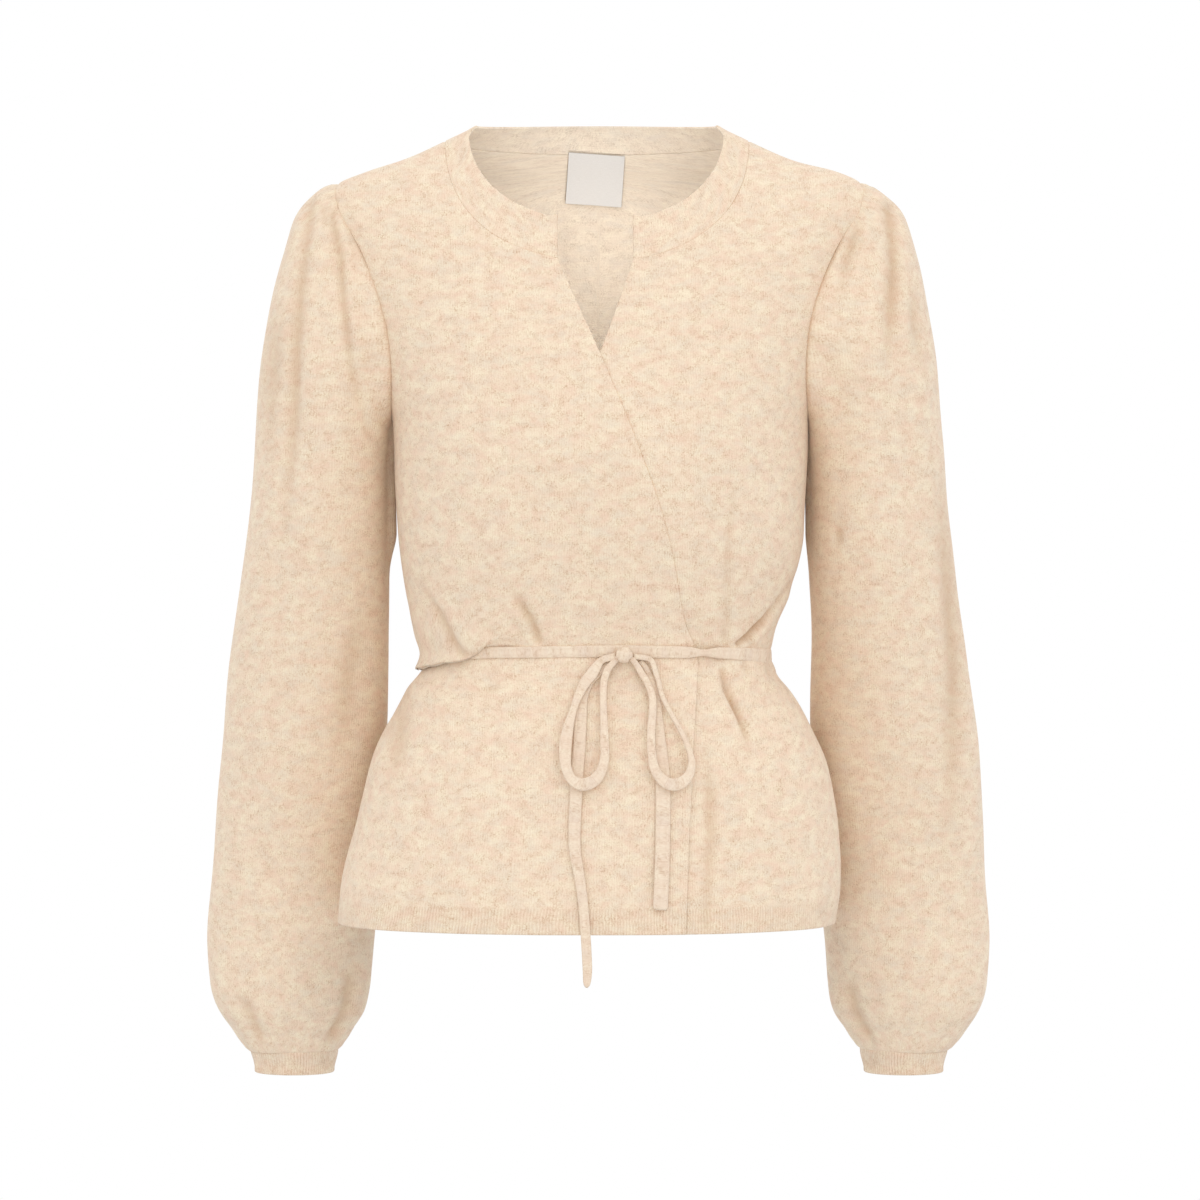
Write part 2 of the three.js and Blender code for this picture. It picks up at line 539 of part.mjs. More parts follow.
function cuff(side) {
  const rows = CUFF.map(({ z, outX, inX, deep }) =>
    Array.from({ length: SLEEVE_COLUMNS }, (_, c) => {
      const turn = (c / SLEEVE_COLUMNS) * 2 * Math.PI;
      const swing = Math.cos(turn);
      const x = side * lerp(outX, inX, (1 + swing) / 2);
      const at = new THREE.Vector3(x, CUFF_Y - deep * Math.sin(turn), z);
      const out = new THREE.Vector3(-side * swing * deep, (-Math.sin(turn) * (outX - inX)) / 2, 0);
      return { at, out: out.normalize() };
    }),
  );
  return wall(rows, { around: true });
}

// ---------------------------------------------------------------- waist tie and its bow

/** The lift of whatever lies on the front at this x: over the upper front, then down its edge. */
function frontLift(x, z) {
  const past = smoothstep(x, wrapX(z, -1) + 3, wrapX(z, -1) + 26);
  return lapLift(x, z) * (1 - past) + WALL / 2;
}

function waistTie() {
  const spots = Array.from({ length: TIE_STEPS }, (_, i) => {
    const angle = (i / TIE_STEPS) * 2 * Math.PI;
    const z = lerp(TIE.side, TIE.front, ((1 + Math.cos(angle)) / 2) ** 2);
    const { x } = torso(angle, z);
    const cloth = Math.cos(angle) > 0 ? frontLift(x, z) : WALL / 2;
    return { ...onTorso(angle, z, cloth + TIE.stand + TIE.thick / 2), wide: TIE.wide, thick: TIE.thick };
  });
  return strap(spots, { closed: true });
}

/** A free length of strap on the front, on this many layers of strap. */
function looseStrap(route, layer) {
  return strap(
    route.map(({ x, z, wide }) => {
      const lift = frontLift(x, z) + STACK + LOOSE.thick / 2 + layer * (LOOSE.thick + STACK);
      return { ...onTorso(angleAtX(x, z), z, lift), wide: LOOSE.wide * wide, thick: LOOSE.thick };
    }),
  );
}

/** The knot: a flattened ball that sits on the waist tie. */
function knot() {
  const lift = frontLift(KNOT.x, KNOT.z) + TIE.stand + TIE.thick + STACK + KNOT.thick / 2;
  const { at, out } = onTorso(angleAtX(KNOT.x, KNOT.z), KNOT.z, lift);
  const shape = new THREE.SphereGeometry(1, 14, 10);
  shape.deleteAttribute("normal");
  shape.deleteAttribute("uv");
  shape.rotateX(Math.PI / 2);
  shape.scale(KNOT.wide / 2, KNOT.thick / 2, KNOT.high / 2);
  const turned = new THREE.Quaternion().setFromUnitVectors(new THREE.Vector3(0, -1, 0), out);
  shape.applyQuaternion(turned);
  shape.translate(at.x, at.y, at.z);
  return mergeVertices(shape, 1e-3);
}

// ---------------------------------------------------------------- label

function neckLabel() {
  const rows = [0, 1, 2].map((r) =>
    [-2, -1, 0, 1, 2].map((c) => {
      const down = (r / 2) * LABEL.high;
      const beside = (c / 4) * LABEL.wide;
      const x = LABEL.x + beside - down * Math.sin(LABEL.tilt * RADIANS);
      const z = LABEL.top - down - beside * Math.sin(LABEL.tilt * RADIANS);
      const lift = -(WALL / 2 + LABEL.stand + LABEL.thick / 2 + (LABEL.hang * r) / 2);
      return onTorso(angleAtX(x, z, -1), z, lift);
    }),
  );
  return wall(rows, { thick: LABEL.thick });
}

// ---------------------------------------------------------------- the whole garment

const cardigan = new THREE.Group();

function add(name, geometry, look) {
  const piece = new THREE.Mesh(geometry, new THREE.MeshStandardMaterial(look));
  piece.name = name;
  cardigan.add(piece);
}

add("back", backPanel(), KNIT);
add("right_front", frontPanel(-1), KNIT);
add("left_front", frontPanel(1), KNIT);
add("neckband", neckband(), KNIT);
for (const [name, side] of [["right", -1], ["left", 1]]) {
  add(`${name}_sleeve`, sleeve(side), KNIT);
  add(`${name}_cuff`, cuff(side), KNIT);
}
add("waist_tie", waistTie(), STRAP);
add("bow_knot", knot(), STRAP);
add("bow_loop_right", looseStrap(LOOP_AT_RIGHT, 1), STRAP);
add("bow_loop_left", looseStrap(LOOP_AT_LEFT, 1), STRAP);
add("tie_tail_right", looseStrap(TAIL_AT_RIGHT, 0), STRAP);
add("tie_tail_left", looseStrap(TAIL_AT_LEFT, 0), STRAP);
add("neck_label", neckLabel(), WOVEN);

export default cardigan;
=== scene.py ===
"""Looks of a wrap cardigan in fine brushed knit, filled out as it is when worn.

Millimetres throughout, turned to metres where a mesh is made. +Z is up, the front faces -Y and the
wearer's right side is at -X. Each piece of cloth is a thin closed shell on the form that its solid
has, with its main creases laid in as soft troughs, and the knit's loops, nap and mottled
yarn in its material.
"""

import math

import bpy
import numpy as np
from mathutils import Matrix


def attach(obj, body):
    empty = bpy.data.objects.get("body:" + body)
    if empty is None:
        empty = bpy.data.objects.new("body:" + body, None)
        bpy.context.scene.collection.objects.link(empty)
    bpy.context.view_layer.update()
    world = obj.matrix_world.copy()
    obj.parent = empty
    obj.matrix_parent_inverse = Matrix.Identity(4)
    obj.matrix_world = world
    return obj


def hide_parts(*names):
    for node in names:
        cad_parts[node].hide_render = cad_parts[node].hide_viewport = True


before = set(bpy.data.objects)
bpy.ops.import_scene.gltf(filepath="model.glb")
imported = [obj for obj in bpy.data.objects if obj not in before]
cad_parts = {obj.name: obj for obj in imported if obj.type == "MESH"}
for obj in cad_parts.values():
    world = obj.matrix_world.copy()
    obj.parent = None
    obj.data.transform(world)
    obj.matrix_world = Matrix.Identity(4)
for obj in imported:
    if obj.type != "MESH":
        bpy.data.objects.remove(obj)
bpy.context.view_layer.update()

MM = 0.001


def table(names, rows):
    """Rows of numbers as named columns."""
    return dict(zip(names.split(), np.array(rows, float).T))


def folds(rows):
    """Creases, each as its depth, width, lip, side, start, end and the line it follows."""
    return [dict(zip("depth width lip side start end line".split(), row)) for row in rows]


# ------------------------------------------------------------------ sizes, most as the solids have

WALL = 2.0
LAP = WALL + 1.3
HEM = -570.0
OVAL = 2.3

TORSO = table("z right left front back y", [
    (6, 76, 73, 20, 46, 0),
    (0, 87, 84, 23, 50, 0),
    (-11, 110, 107, 27, 54, 0),
    (-24, 139, 137, 31, 59, 0),
    (-33, 168, 168, 36, 63, 0),
    (-41, 186, 186, 43, 66, 0),
    (-50, 193, 193, 49.5, 69, 0),
    (-62, 195, 195, 57.5, 72, 0),
    (-76, 191, 190, 66, 77, 0),
    (-96, 183, 182, 77, 83, 0),
    (-125, 173, 171, 90, 90, 0),
    (-160, 161, 160, 103, 96, 0),
    (-190, 153, 153, 112, 99, 0),
    (-212, 147.6, 149, 117, 99, 0),
    (-240, 145.4, 148, 120, 97, 0),
    (-290, 144.4, 147, 114, 90, -2),
    (-335, 138.5, 136, 103, 84, -3),
    (-364, 131, 125, 94.5, 82, -4),
    (-379, 126, 122.5, 92, 79, -5),
    (-392, 130, 126, 93, 80, -6),
    (-406, 137.5, 136, 97, 86, -8),
    (-430, 150, 150, 102, 96, -11),
    (-460, 163, 163, 106, 104, -15),
    (-500, 174, 170, 109, 111, -19),
    (-545, 184, 172, 111, 116, -23),
    (HEM, 186, 169, 112, 118, -25),
])

ARMHOLE_TOP = -41.0
ARMHOLE_BOTTOM = -209.0
ARMHOLE_MIDDLE = (ARMHOLE_TOP + ARMHOLE_BOTTOM) / 2
ARMHOLE_HALF = (ARMHOLE_TOP - ARMHOLE_BOTTOM) / 2
ARMHOLE_DEEP = {1: 46.0, -1: 50.0}  # half depth on the front and on the back
ARMHOLE_EGG = 0.35

NECK_CURVE = 2.2
NECK_FREE = {-1: 93.5, 1: 89.5}  # half widths at the band's free edge
NECK_FREE_TOP = 0.0
NECK_FREE_DEEP = 70.0
NECK_SEAM = {-1: 110.0, 1: 107.0}  # half widths at the band's seam
NECK_SEAM_TOP = -11.0
NECK_SEAM_DEEP = 88.5
NECK_TURN_IN_BY = 6.0
NECK_TURN_IN_OVER = 10.0
BACK_NECK_RISE = 3.0
BACK_NECK_DIP = 6.0
BACK_NECK_DIP_OVER = 30.0  # height over which the dip fades out
NECK_CORNER = -98.0

WRAP = table("z upper lower", [
    (NECK_CORNER, -29, 24),
    (-166, 1, 0),
    (-226, 26, -25),
    (-274, 43, -43),
    (-305, 51, -52),
    (-353, 60, -62),
    (-380, 68.6, -71),
    (-410, 67.6, -71),
    (-442, 65.6, -71),
    (-474, 64.2, -67),
    (-506, 62.4, -66.4),
    (HEM, 60, -65),
])
LAP_START = -132.0
LAP_FULL = -86.0

SLEEVE = table("row outX outZ inX inZ y deep", [
    (0, 188, -39, 151.5, -210, 1, 48),
    (1, 198, -42.5, 151.5, -213, 1, 51),
    (2, 208, -50.5, 151.2, -217, 2, 53),
    (3, 219.5, -64, 150.8, -222, 3, 55),
    (4, 227.5, -90, 150.6, -229, 4, 56),
    (5, 235.5, -126, 151.8, -240, 6, 57),
    (6, 241.5, -168, 152.4, -256, 9, 56),
    (7, 246.5, -222, 152.6, -280, 13, 54),
    (8, 253, -284, 153.4, -312, 18, 52),
    (9, 261.5, -350, 154.4, -360, 27, 50),
    (10, 270, -415, 154, -416, 39, 49),
    (11, 277.5, -480, 155.5, -480, 52, 49),
    (12, 282, -542, 161, -542, 63, 49),
    (13, 285.3, -592, 166, -592, 67, 48),
    (14, 284, -622, 168.5, -622, 67, 46),
    (15, 275.5, -647, 173, -647, 66, 41),
    (16, 264.5, -663, 182, -663, 64, 34),
    (17, 255, -670, 191.5, -670, 63, 28),
])
SLEEVE_END = 17.0
ARMHOLE_REACH = 5.0
# Each sleeve swells toward the body below the underarm, between these rows. before and behind are
# its widths in degrees on the side toward the front and on the side toward the back.
SLEEVE_SWELL = {"angle": 3, "before": 5.5, "behind": 16, "depth": {-1: 5.6, 1: 2.6}}
SLEEVE_SWELL_ROWS = (0.8, 1.9, 7.4, 8.3)

# The middle of the arm's round, by height: the knit's columns are spaced round it.
ARM_MIDDLE = table("z x y", [
    (-41, 172, 0), (-90, 184, 2), (-183, 194, 6), (-251, 199, 13), (-331, 206, 22),
    (-416, 212, 39), (-560, 222, 58), (-650, 223, 63),
])
ARM_RADIUS = 53.0
COURSE_STRETCH = 1.25  # the most a course may be drawn out over the sleeve's head
# Gathers of the sleeve head: angle in degrees round it, 90 at the front and 180 outside.
GATHERS = table("angle depth width reach", [
    (62, 3.4, 11, 5), (92, 1.8, 9, 3), (114, 4.2, 12, 8), (146, 2.4, 9, 3), (172, 3.2, 10, 4),
    (204, 2.6, 10, 3), (236, 3.8, 12, 6), (268, 1.8, 9, 3), (296, 3.0, 11, 5),
])

CUFF = table("z outX inX deep", [
    (-671.2, 254.4, 192.2, 27.6),
    (-679, 253, 193, 26.8),
    (-687.5, 252.5, 194, 26.5),
])
CUFF_Y = 63.0
CUFF_RADIUS = 29.0
CUFF_RIBS = 80
CUFF_RIB_HIGH = 0.16
CUFF_ROLL = 0.3  # how far its free edge rolls out

TIE_WIDE = 8.6
TIE_THICK = 2.2
TIE_SIDE = -382.0
TIE_FRONT = -373.0
TIE_STAND = 1.2
LOOSE_THICK = 2.6
SOFT_THICK = 2.0  # the same stretches, pressed flat by their own weight
LOOP_RISE = 2.6  # how far the loops' lower ends stand away from the front
TAIL_RISE = 1.6  # and the tails' ends
STACK = 0.4

# Routes of the tie's free stretches on the front: x, z, and the share of its width that shows.
LOOP_AT_RIGHT = table("x z wide", [
    (1.2, -381, 0.6), (-2.6, -387, 0.85), (-8, -397, 0.95), (-14, -407.5, 0.7),
    (-17.7, -417.8, 0.6), (-20.2, -426, 0.8), (-22.2, -436, 1), (-23.1, -446.5, 1),
    (-22, -456.8, 0.85), (-18.4, -464, 0.85), (-11.4, -467.2, 1.05), (-4, -465, 1),
    (1.6, -458, 0.85), (4, -448.8, 0.75), (3.8, -438.5, 0.7), (3.5, -427, 0.62), (3, -415.5, 0.56),
    (3, -404, 0.56), (3.9, -395, 0.6), (6, -387.5, 0.6), (9.6, -382.4, 0.5),
])
LOOP_AT_LEFT = table("x z wide", [
    (35.4, -380.6, 0.45), (37.6, -387, 0.45), (39.8, -396.5, 0.4), (42.4, -407, 0.38),
    (47, -417, 0.38), (52.6, -427, 0.38), (57.4, -436.2, 0.42), (61, -445.4, 0.48),
    (62.6, -454.5, 0.6), (60.3, -461.8, 0.8), (54.8, -466.8, 1), (48, -467.4, 1),
    (42, -463.7, 0.9), (37.6, -456.8, 0.78), (35.8, -448, 0.7), (35.2, -438.5, 0.67),
    (35.5, -428.5, 0.65), (36.4, -418, 0.62), (36.2, -408, 0.6), (32.4, -398, 0.55),
    (28, -388.6, 0.55), (24, -381.4, 0.45),
])
TAIL_AT_RIGHT = table("x z wide", [
    (8, -383, 0.45), (-3, -392.5, 0.7), (-11, -406, 0.9), (-12.6, -422, 1), (-13.5, -440, 1),
    (-14.9, -458, 1), (-15.9, -476, 1), (-16.8, -494, 1), (-16.5, -512, 0.95), (-13.5, -530, 0.85),
    (-11, -548, 0.8), (-9.5, -566, 0.8), (-8.5, -582, 0.8), (-8, -596, 0.75), (-8.5, -606, 0.55),
])
TAIL_AT_LEFT = table("x z wide", [
    (28.5, -380.6, 0.4), (32.5, -386.5, 0.5), (35.8, -394.5, 0.5), (38.5, -403.5, 0.55),
    (40.2, -414, 0.6), (41, -425, 0.75), (41.9, -437, 0.9), (43, -450, 1.05), (43.8, -462, 1.15),
    (44, -474, 1.2), (43.9, -488, 1.2), (43.7, -504, 1.2), (43.3, -520, 1.2), (42.7, -536, 1.2),
    (42, -553, 1.2),
])
RIGHT_LOOP_ENDS = ((11.6, -376.6), (13.2, -378.0))  # x and z where the loops go in under the knot
LEFT_LOOP_ENDS = ((23.6, -376.6), (20.2, -377.4))
KNOT = {"x": 17.0, "z": -375.0, "wide": 13.0, "high": 11.5, "thick": 7.5}
LABEL = {"x": -1.6, "top": -16.0, "wide": 41.0, "high": 36.5, "tilt": 4.0, "stand": 0.9, "thick": 0.6}

# ------------------------------------------------------------------ the folds, laid in one by one

# line is x and z along the crease, depth and width its trough, lip the soft ridge beside it, with
# side the way that the ridge lies. start and end say how much of the crease is left at each end.
FRONT_FOLDS = folds([
    (1.3, 3.6, 0.8, 1, 0, 1, [(96, -250), (91, -300), (88, -366)]),
    (3.6, 3.0, 2.0, 1, 1, 0, [(-42, -365), (-44, -358), (-49, -347), (-58, -334), (-63, -322)]),
    (1.2, 2.6, 0.6, 1, 0.8, 0, [(-71, -361), (-75, -356), (-83, -349)]),
    (3.4, 3.2, 1.4, -1, 0.2, 0.1, [(-84, -368), (-99, -359), (-109, -349), (-117, -341), (-130, -323)]),
    (6.0, 2.2, 1.6, -1, 0.8, 0.2, [(98, -369), (105, -364), (111, -358), (117, -353), (123, -345),
     (129, -337)]),
    (1.6, 2.4, 0.2, -1, 1, 0, [(128, -339), (135, -329), (141, -316)]),
    (1.8, 2.0, 0.9, -1, 1, 0, [(106, -371), (105, -363)]),
    (5.0, 2.1, 1.4, 1, 0.6, 0, [(87, -388), (90, -401), (95, -411), (99, -419), (103, -431),
     (108, -452)]),
    (1.6, 2.4, 0.8, 1, 1, 0, [(103, -384), (106, -394)]),
    (1.6, 2.4, 0.8, 1, 1, 0, [(119, -386), (122, -396)]),
    (2.4, 4.0, 1.3, 1, 0, 0.7, [(76, -440), (78, -500), (74, -566)]),
    (2.4, 7, 1.2, -1, 0.5, 0, [(-138, -405), (-142, -440), (-147, -480)]),
    (1.4, 3.4, 1.0, 1, 0, 0, [(-64, -395), (-76, -402), (-94, -404)]),
])
BACK_FOLDS = folds([
    (5.4, 4.2, 2.8, 1, 1, 0, [(-94, -371), (-117, -340), (-138, -312)]),
    (4.4, 4.4, 2.2, -1, 0.8, 0, [(62, -368), (88, -338), (117, -309)]),
    (1.6, 5, 0.8, 1, 1, 0, [(-24, -367), (-31, -346), (-33, -328)]),
    (1.4, 4, 0.6, 1, 1, 0, [(28, -368), (33, -352)]),
    (5.2, 4.0, 2.6, -1, 0.8, 0, [(-82, -391), (-95, -428), (-108, -474)]),
    (2.2, 7, 1.2, 1, 0.8, 0, [(-12, -390), (-15, -430), (-13, -486)]),
    (4.2, 5.0, 2.2, 1, 0.8, 0.2, [(70, -391), (86, -436), (97, -500)]),
    (1.3, 12, 0.6, 1, 0, 0, [(-70, -150), (-58, -205), (-52, -262)]),
])

RIGHT_SLEEVE_FOLDS = folds([
    (3.0, 5.0, 2.2, 1, 0.8, 0, [(-206, -58), (-208, -78), (-209, -89), (-211, -105), (-213, -125),
     (-215, -150), (-217, -210), (-224, -286), (-240, -330)]),
    (3.0, 3.2, 2.4, 1, 1, 0.2, [(-190, -65), (-187, -83), (-184, -94), (-183, -111), (-181, -131),
     (-176, -172), (-163, -222)]),
    (1.6, 2.4, 0.9, 1, 1, 0, [(-196, -62), (-195, -76)]),
    (2.2, 7, 1.2, -1, 0, 0, [(-228, -120), (-234, -190), (-236, -260)]),
    (2.2, 9, 1.2, 1, 0, 0, [(-166, -330), (-180, -400), (-186, -480)]),
    (3.4, 5.0, 1.8, 1, 0, 0.9, [(-178, -600), (-184, -640), (-196, -670)]),
    (2.4, 4.6, 1.4, -1, 0, 0.9, [(-262, -622), (-250, -650), (-243, -670)]),
])
LEFT_SLEEVE_FOLDS = folds([
    (3.4, 3.8, 2.0, -1, 1, 0, [(185, -46), (181, -80), (177, -94), (173, -113), (171, -138)]),
    (4.0, 5.4, 2.2, -1, 0.9, 0, [(207, -60), (210, -100), (207, -141), (203, -190)]),
    (2.4, 4.6, 1.3, -1, 0.2, 0, [(222, -112), (226, -150), (229, -186)]),
    (3.6, 8, 2.0, 1, 0, 0, [(243, -225), (251, -310), (256, -393), (254, -502), (244, -562)]),
    (1.8, 3.0, 0.8, 1, 0.3, 0.3, [(172, -284), (171, -304)]),
    (3.0, 5.0, 1.6, -1, 0, 0.9, [(180, -610), (187, -644), (198, -670)]),
])

# The sleeves' hidden back halves, drawn in at the same strength but not in the same places.
RIGHT_SLEEVE_BACK_FOLDS = folds([
    (3.0, 7, 1.6, -1, 0.9, 0, [(-192, -62), (-196, -118), (-204, -190), (-219, -262)]),
    (2.2, 10, 1.2, 1, 0, 0, [(-172, -250), (-188, -330), (-192, -420)]),
    (2.2, 9, 1.2, -1, 0, 0, [(-236, -380), (-244, -470), (-238, -560)]),
    (2.2, 5, 1.2, 1, 0, 0.9, [(-205, -618), (-211, -645), (-216, -670)]),
])
LEFT_SLEEVE_BACK_FOLDS = folds([
    (2.8, 6.5, 1.5, 1, 0.9, 0, [(198, -64), (205, -130), (210, -214)]),
    (2.4, 8, 1.3, -1, 0.4, 0, [(168, -236), (182, -300), (200, -352)]),
    (2.0, 10, 1.1, 1, 0, 0, [(226, -400), (240, -490), (243, -575)]),
    (2.2, 5, 1.2, -1, 0, 0.9, [(236, -622), (229, -648), (225, -670)]),
])

# Small puckers where the sleeve's head is sewn in: degrees round it, depth and width in degrees.
PUCKERS = table("angle depth width", [
    (70, 0.8, 3.4), (83, 1.0, 3.0), (101, 0.9, 3.2), (109, 1.3, 2.6), (121, 1.5, 2.8),
    (129, 1.1, 2.4), (138, 1.6, 2.9), (151, 1.3, 2.6), (160, 1.0, 2.5), (171, 1.4, 3.0),
    (183, 1.1, 2.7), (193, 1.4, 2.9), (207, 1.0, 2.6), (219, 1.4, 3.1), (229, 1.0, 2.6),
    (243, 1.2, 3.0), (259, 0.8, 3.2), (281, 0.8, 3.4),
])
PUCKER_REACH = 17.0  # length over which a pucker dies out

# Small gathers above the cuff, the same way.
CUFF_PUCKERS = table("angle depth width", [
    (22, 0.9, 5), (47, 1.2, 4), (66, 0.7, 4), (88, 1.0, 5), (109, 0.7, 4), (131, 1.1, 5),
    (158, 0.9, 4), (186, 1.2, 5), (214, 0.8, 4), (239, 1.1, 5), (263, 0.7, 4), (288, 1.0, 5),
    (316, 0.9, 4), (341, 1.1, 5),
])
CUFF_PUCKER_REACH = 24.0
CUFF_DRAW = 1.6  # how far the rib draws the cuff's rim in
HANG_IN = (2.6, 4.2)  # how far in the sleeve hangs just above it, outside the arm and inside

# Long soft swells of the cloth that no crease explains: wavelengths and phases across and down.
SWELLS = table("high across down phase", [
    (0.55, 143, 231, 0.4),
    (0.40, -97, 164, 2.1),
    (0.30, 61, 118, 4.4),
    (0.22, -47, 83, 1.3),
])

BELT_PINCH = 5.0  # the tie holds creases flat over this height
BELT_SINK = 1.1  # and draws the cloth in by this much
BELT_STAND = 0.3  # how far the tie stands off the cloth
BELT_SIDE_SINK = 0.9  # and how much further it sinks in at the sides
BELT_TWIST = {"x": 72, "reach": 7.0, "narrow": 0.46, "thick": 0.3}  # where the tie is turned over
BELT_BEYOND = {"from": 82, "to": 124, "wide": 0.26, "low": 1.0}  # and how it lies past that

# At the wearer's right the cloth hangs over the tie: how far below the tie's middle it reaches.
BLOUSE = table("x drop", [(-131, 11.5), (-125, 10.5), (-113, 8.5), (-91, 6.2), (-70, 5.2), (-50, 5)])
BLOUSE_OUT = (52.0, 72.0)  # it swells out and
BLOUSE_DOWN = (68.0, 98.0)  # drops between these distances from the centre
BLOUSE_LEVEL = (76.0, 122.0)  # and lies ever flatter between these
BLOUSE_PUFF = (2.6, 2.4)  # how far it swells out, toward the centre and at the side
BLOUSE_SINK = (2.6, 4.4)  # and how far it is drawn in under the tie
BLOUSE_FADE = (14, 38)  # the swelling ends between these heights above the tie
FOLD_AT = 10.0  # the cloth this high above the tie makes the fold's lower edge
FOLD_TOP = 34.0
FOLD_BACK = 2.4  # from the outer layer to the one behind it
FOLD_TURN = (9.0, 10.8)  # the cloth turns back between these heights
UNDER_FROM = 4.6  # and comes to the tie's upper edge at this one
UNDER_TIE = (4.4, 5.8)
UNDER_FADE = (5, 26)  # below the tie it comes back to its plain form between these depths

SELF_EDGE = 5.8  # width of the strip along the wrap edge
SELF_EDGE_RISE = 0.2
EDGE_SETTLES = 0.9  # how far the upper front's edge sinks toward the lower front
EDGE_SETTLES_OVER = (0, 16)  # from the edge to this far from it
EDGE_SETTLES_BELOW = (110, 160)  # coming in between these depths
SELF_EDGE_GROOVE = 0.25
FLUSH = 2.2  # how far the lower front rises beside that edge, above the tie
FLUSH_RISES = (-1.6, 0.6)  # between these distances past the edge
FLUSH_FADES = (6, 34)  # and sinks again between these
FLUSH_BELOW = (120, 200)  # coming in between these depths
FLUSH_ABOVE_TIE = (8, 30)  # and gone again between these heights above the tie
HEM_RIB = 20.0  # height of the fine rib at the hem
FREE_ROUND = 1.0  # radius of a free edge
SEAM_ROUND = 0.7
FREE_LEFT = 0.12  # the share of the wall that is left at the very edge
SEAM_LEFT = 0.6
SEAM_DIP = 0.4  # how far the cloth sinks into a seam
BAND_DIP = 0.08  # the same at the neckband, where the seam is pressed flat
SEAM_DIP_REACH = 2.2
SEAM_TUCK = 0.5  # how far the sleeve's first row lies below the body's cloth
HEAD_STAND = 0.1  # how far the sleeve then stands outside it, at the ridge and below
HEAD_STAND_LOW = 1.6
HEAD_LIFT = 1.2  # how much fuller it is at the ridge, just past the seam

BAND_FLARE = 2.2  # how far the band's end corners turn up
BAND_STAND = 0.2  # how far the band stands off the body's form
BAND_ROLL = {"high": 0.5, "at": 2.5, "wide": 2.5}  # the soft ridge beside its free edge
SLEEVE_SEAM = {"round": 50, "share": 0.7}  # the seam under the arm: its radius and depth

STEP = 2.6  # spacing of the shells' points
STRAP_STEP = 1.6  # and of the straps'
WAIST_STEP = 1.2  # and of the body's rows near the tie
HOLLOW_FULL = 6.0  # depth of crease at which the painted shade in it is full
HOLLOW_WIDTH = 0.85  # the painted shade's share of a crease's width


# ------------------------------------------------------------------ the form


def column(rows, name, place, key="z"):
    """One column of a table on a smooth curve through its rows, which never overshoots them."""
    order = np.argsort(rows[key])
    at = rows[key][order]
    value = rows[name][order]
    run = np.diff(at)
    steep = np.diff(value) / run
    slope = np.concatenate([steep[:1], np.zeros(len(run) - 1), steep[-1:]])
    before, after = steep[:-1], steep[1:]
    same = before * after > 0
    first = (2 * run[1:] + run[:-1])[same]
    second = (run[1:] + 2 * run[:-1])[same]
    slope[1:-1][same] = (first + second) / (first / before[same] + second / after[same])
    spot = np.clip(place, at[0], at[-1])
    i = np.clip(np.searchsorted(at, spot) - 1, 0, len(run) - 1)
    t = (spot - at[i]) / run[i]
    ease = t * t * (3 - 2 * t)
    bend = run[i] * t * (1 - t) * ((1 - t) * slope[i] - t * slope[i + 1])
    return value[i] + (value[i + 1] - value[i]) * ease + bend


def smooth(value, low, high):
    """0 below low, 1 above high, and an even S between."""
    t = np.clip((value - low) / (high - low), 0, 1)
    return t * t * (3 - 2 * t)


def mix(a, b, share):
    return a + (b - a) * share


def unit(vectors):
    length = np.linalg.norm(vectors, axis=-1, keepdims=True)
    return vectors / np.maximum(length, 1e-9)


def side_by_side(*parts):
    """Arrays of any fitting shapes as the last axis of one."""
    return np.stack(np.broadcast_arrays(*parts), axis=-1)


def torso(angle, z):
    """Points of the body's middle surface at angles and heights."""
    angle, z = np.broadcast_arrays(np.asarray(angle, float), np.asarray(z, float))
    s, c = np.sin(angle), np.cos(angle)
    size = (np.abs(s) ** OVAL + np.abs(c) ** OVAL) ** (-1 / OVAL)
    wide = np.where(s < 0, column(TORSO, "right", z), column(TORSO, "left", z))
    deep = np.where(c > 0, column(TORSO, "front", z), column(TORSO, "back", z))
    y = column(TORSO, "y", z) - deep * c * size
    return np.stack([wide * s * size, y, z], axis=-1)


def across(share):
    """The other coordinate of the unit oval."""
    return np.maximum(0, 1 - np.abs(share) ** OVAL) ** (1 / OVAL)


def angle_at_x(x, z, facing=1):
    """The angle at which the front, or with facing -1 the back, has this x at height z."""
    wide = np.where(np.asarray(x) < 0, column(TORSO, "right", z), column(TORSO, "left", z))
    share = np.clip(x / wide, -1, 1)
    return np.arctan2(share, facing * across(share))


def normal_of(surface, u, v, du, dv):
    """The outward normal of a surface at two parameters, from small steps along each."""
    along_u = surface(u + du, v) - surface(u - du, v)
    along_v = surface(u, v + dv) - surface(u, v - dv)
    return unit(np.cross(along_u, along_v))


def torso_normal(angle, z):
    angle, z = np.broadcast_arrays(np.asarray(angle, float), np.asarray(z, float))
    return normal_of(torso, angle, z, 0.01, np.minimum(1, (5 - z) / 2))


def armhole_angle(z, side, facing):
    """The angle of the armhole's edge, or below and above it of the side seam and the shoulder."""
    drop = np.clip((ARMHOLE_MIDDLE - z) / ARMHOLE_HALF, -1, 1)
    reach = np.sqrt(1 - drop * drop) * (1 + ARMHOLE_EGG * drop)
    share = ARMHOLE_DEEP[facing] * reach / column(TORSO, "front" if facing > 0 else "back", z)
    return np.arctan2(side * across(share), facing * share)


def neck_seam_x(z, side):
    drop = np.clip((NECK_SEAM_TOP - z) / NECK_SEAM_DEEP, 0, 1)
    return side * NECK_SEAM[side] * (1 - drop**NECK_CURVE) ** (1 / NECK_CURVE)


def wrap_x(z, side):
    return column(WRAP, "upper" if side < 0 else "lower", z)


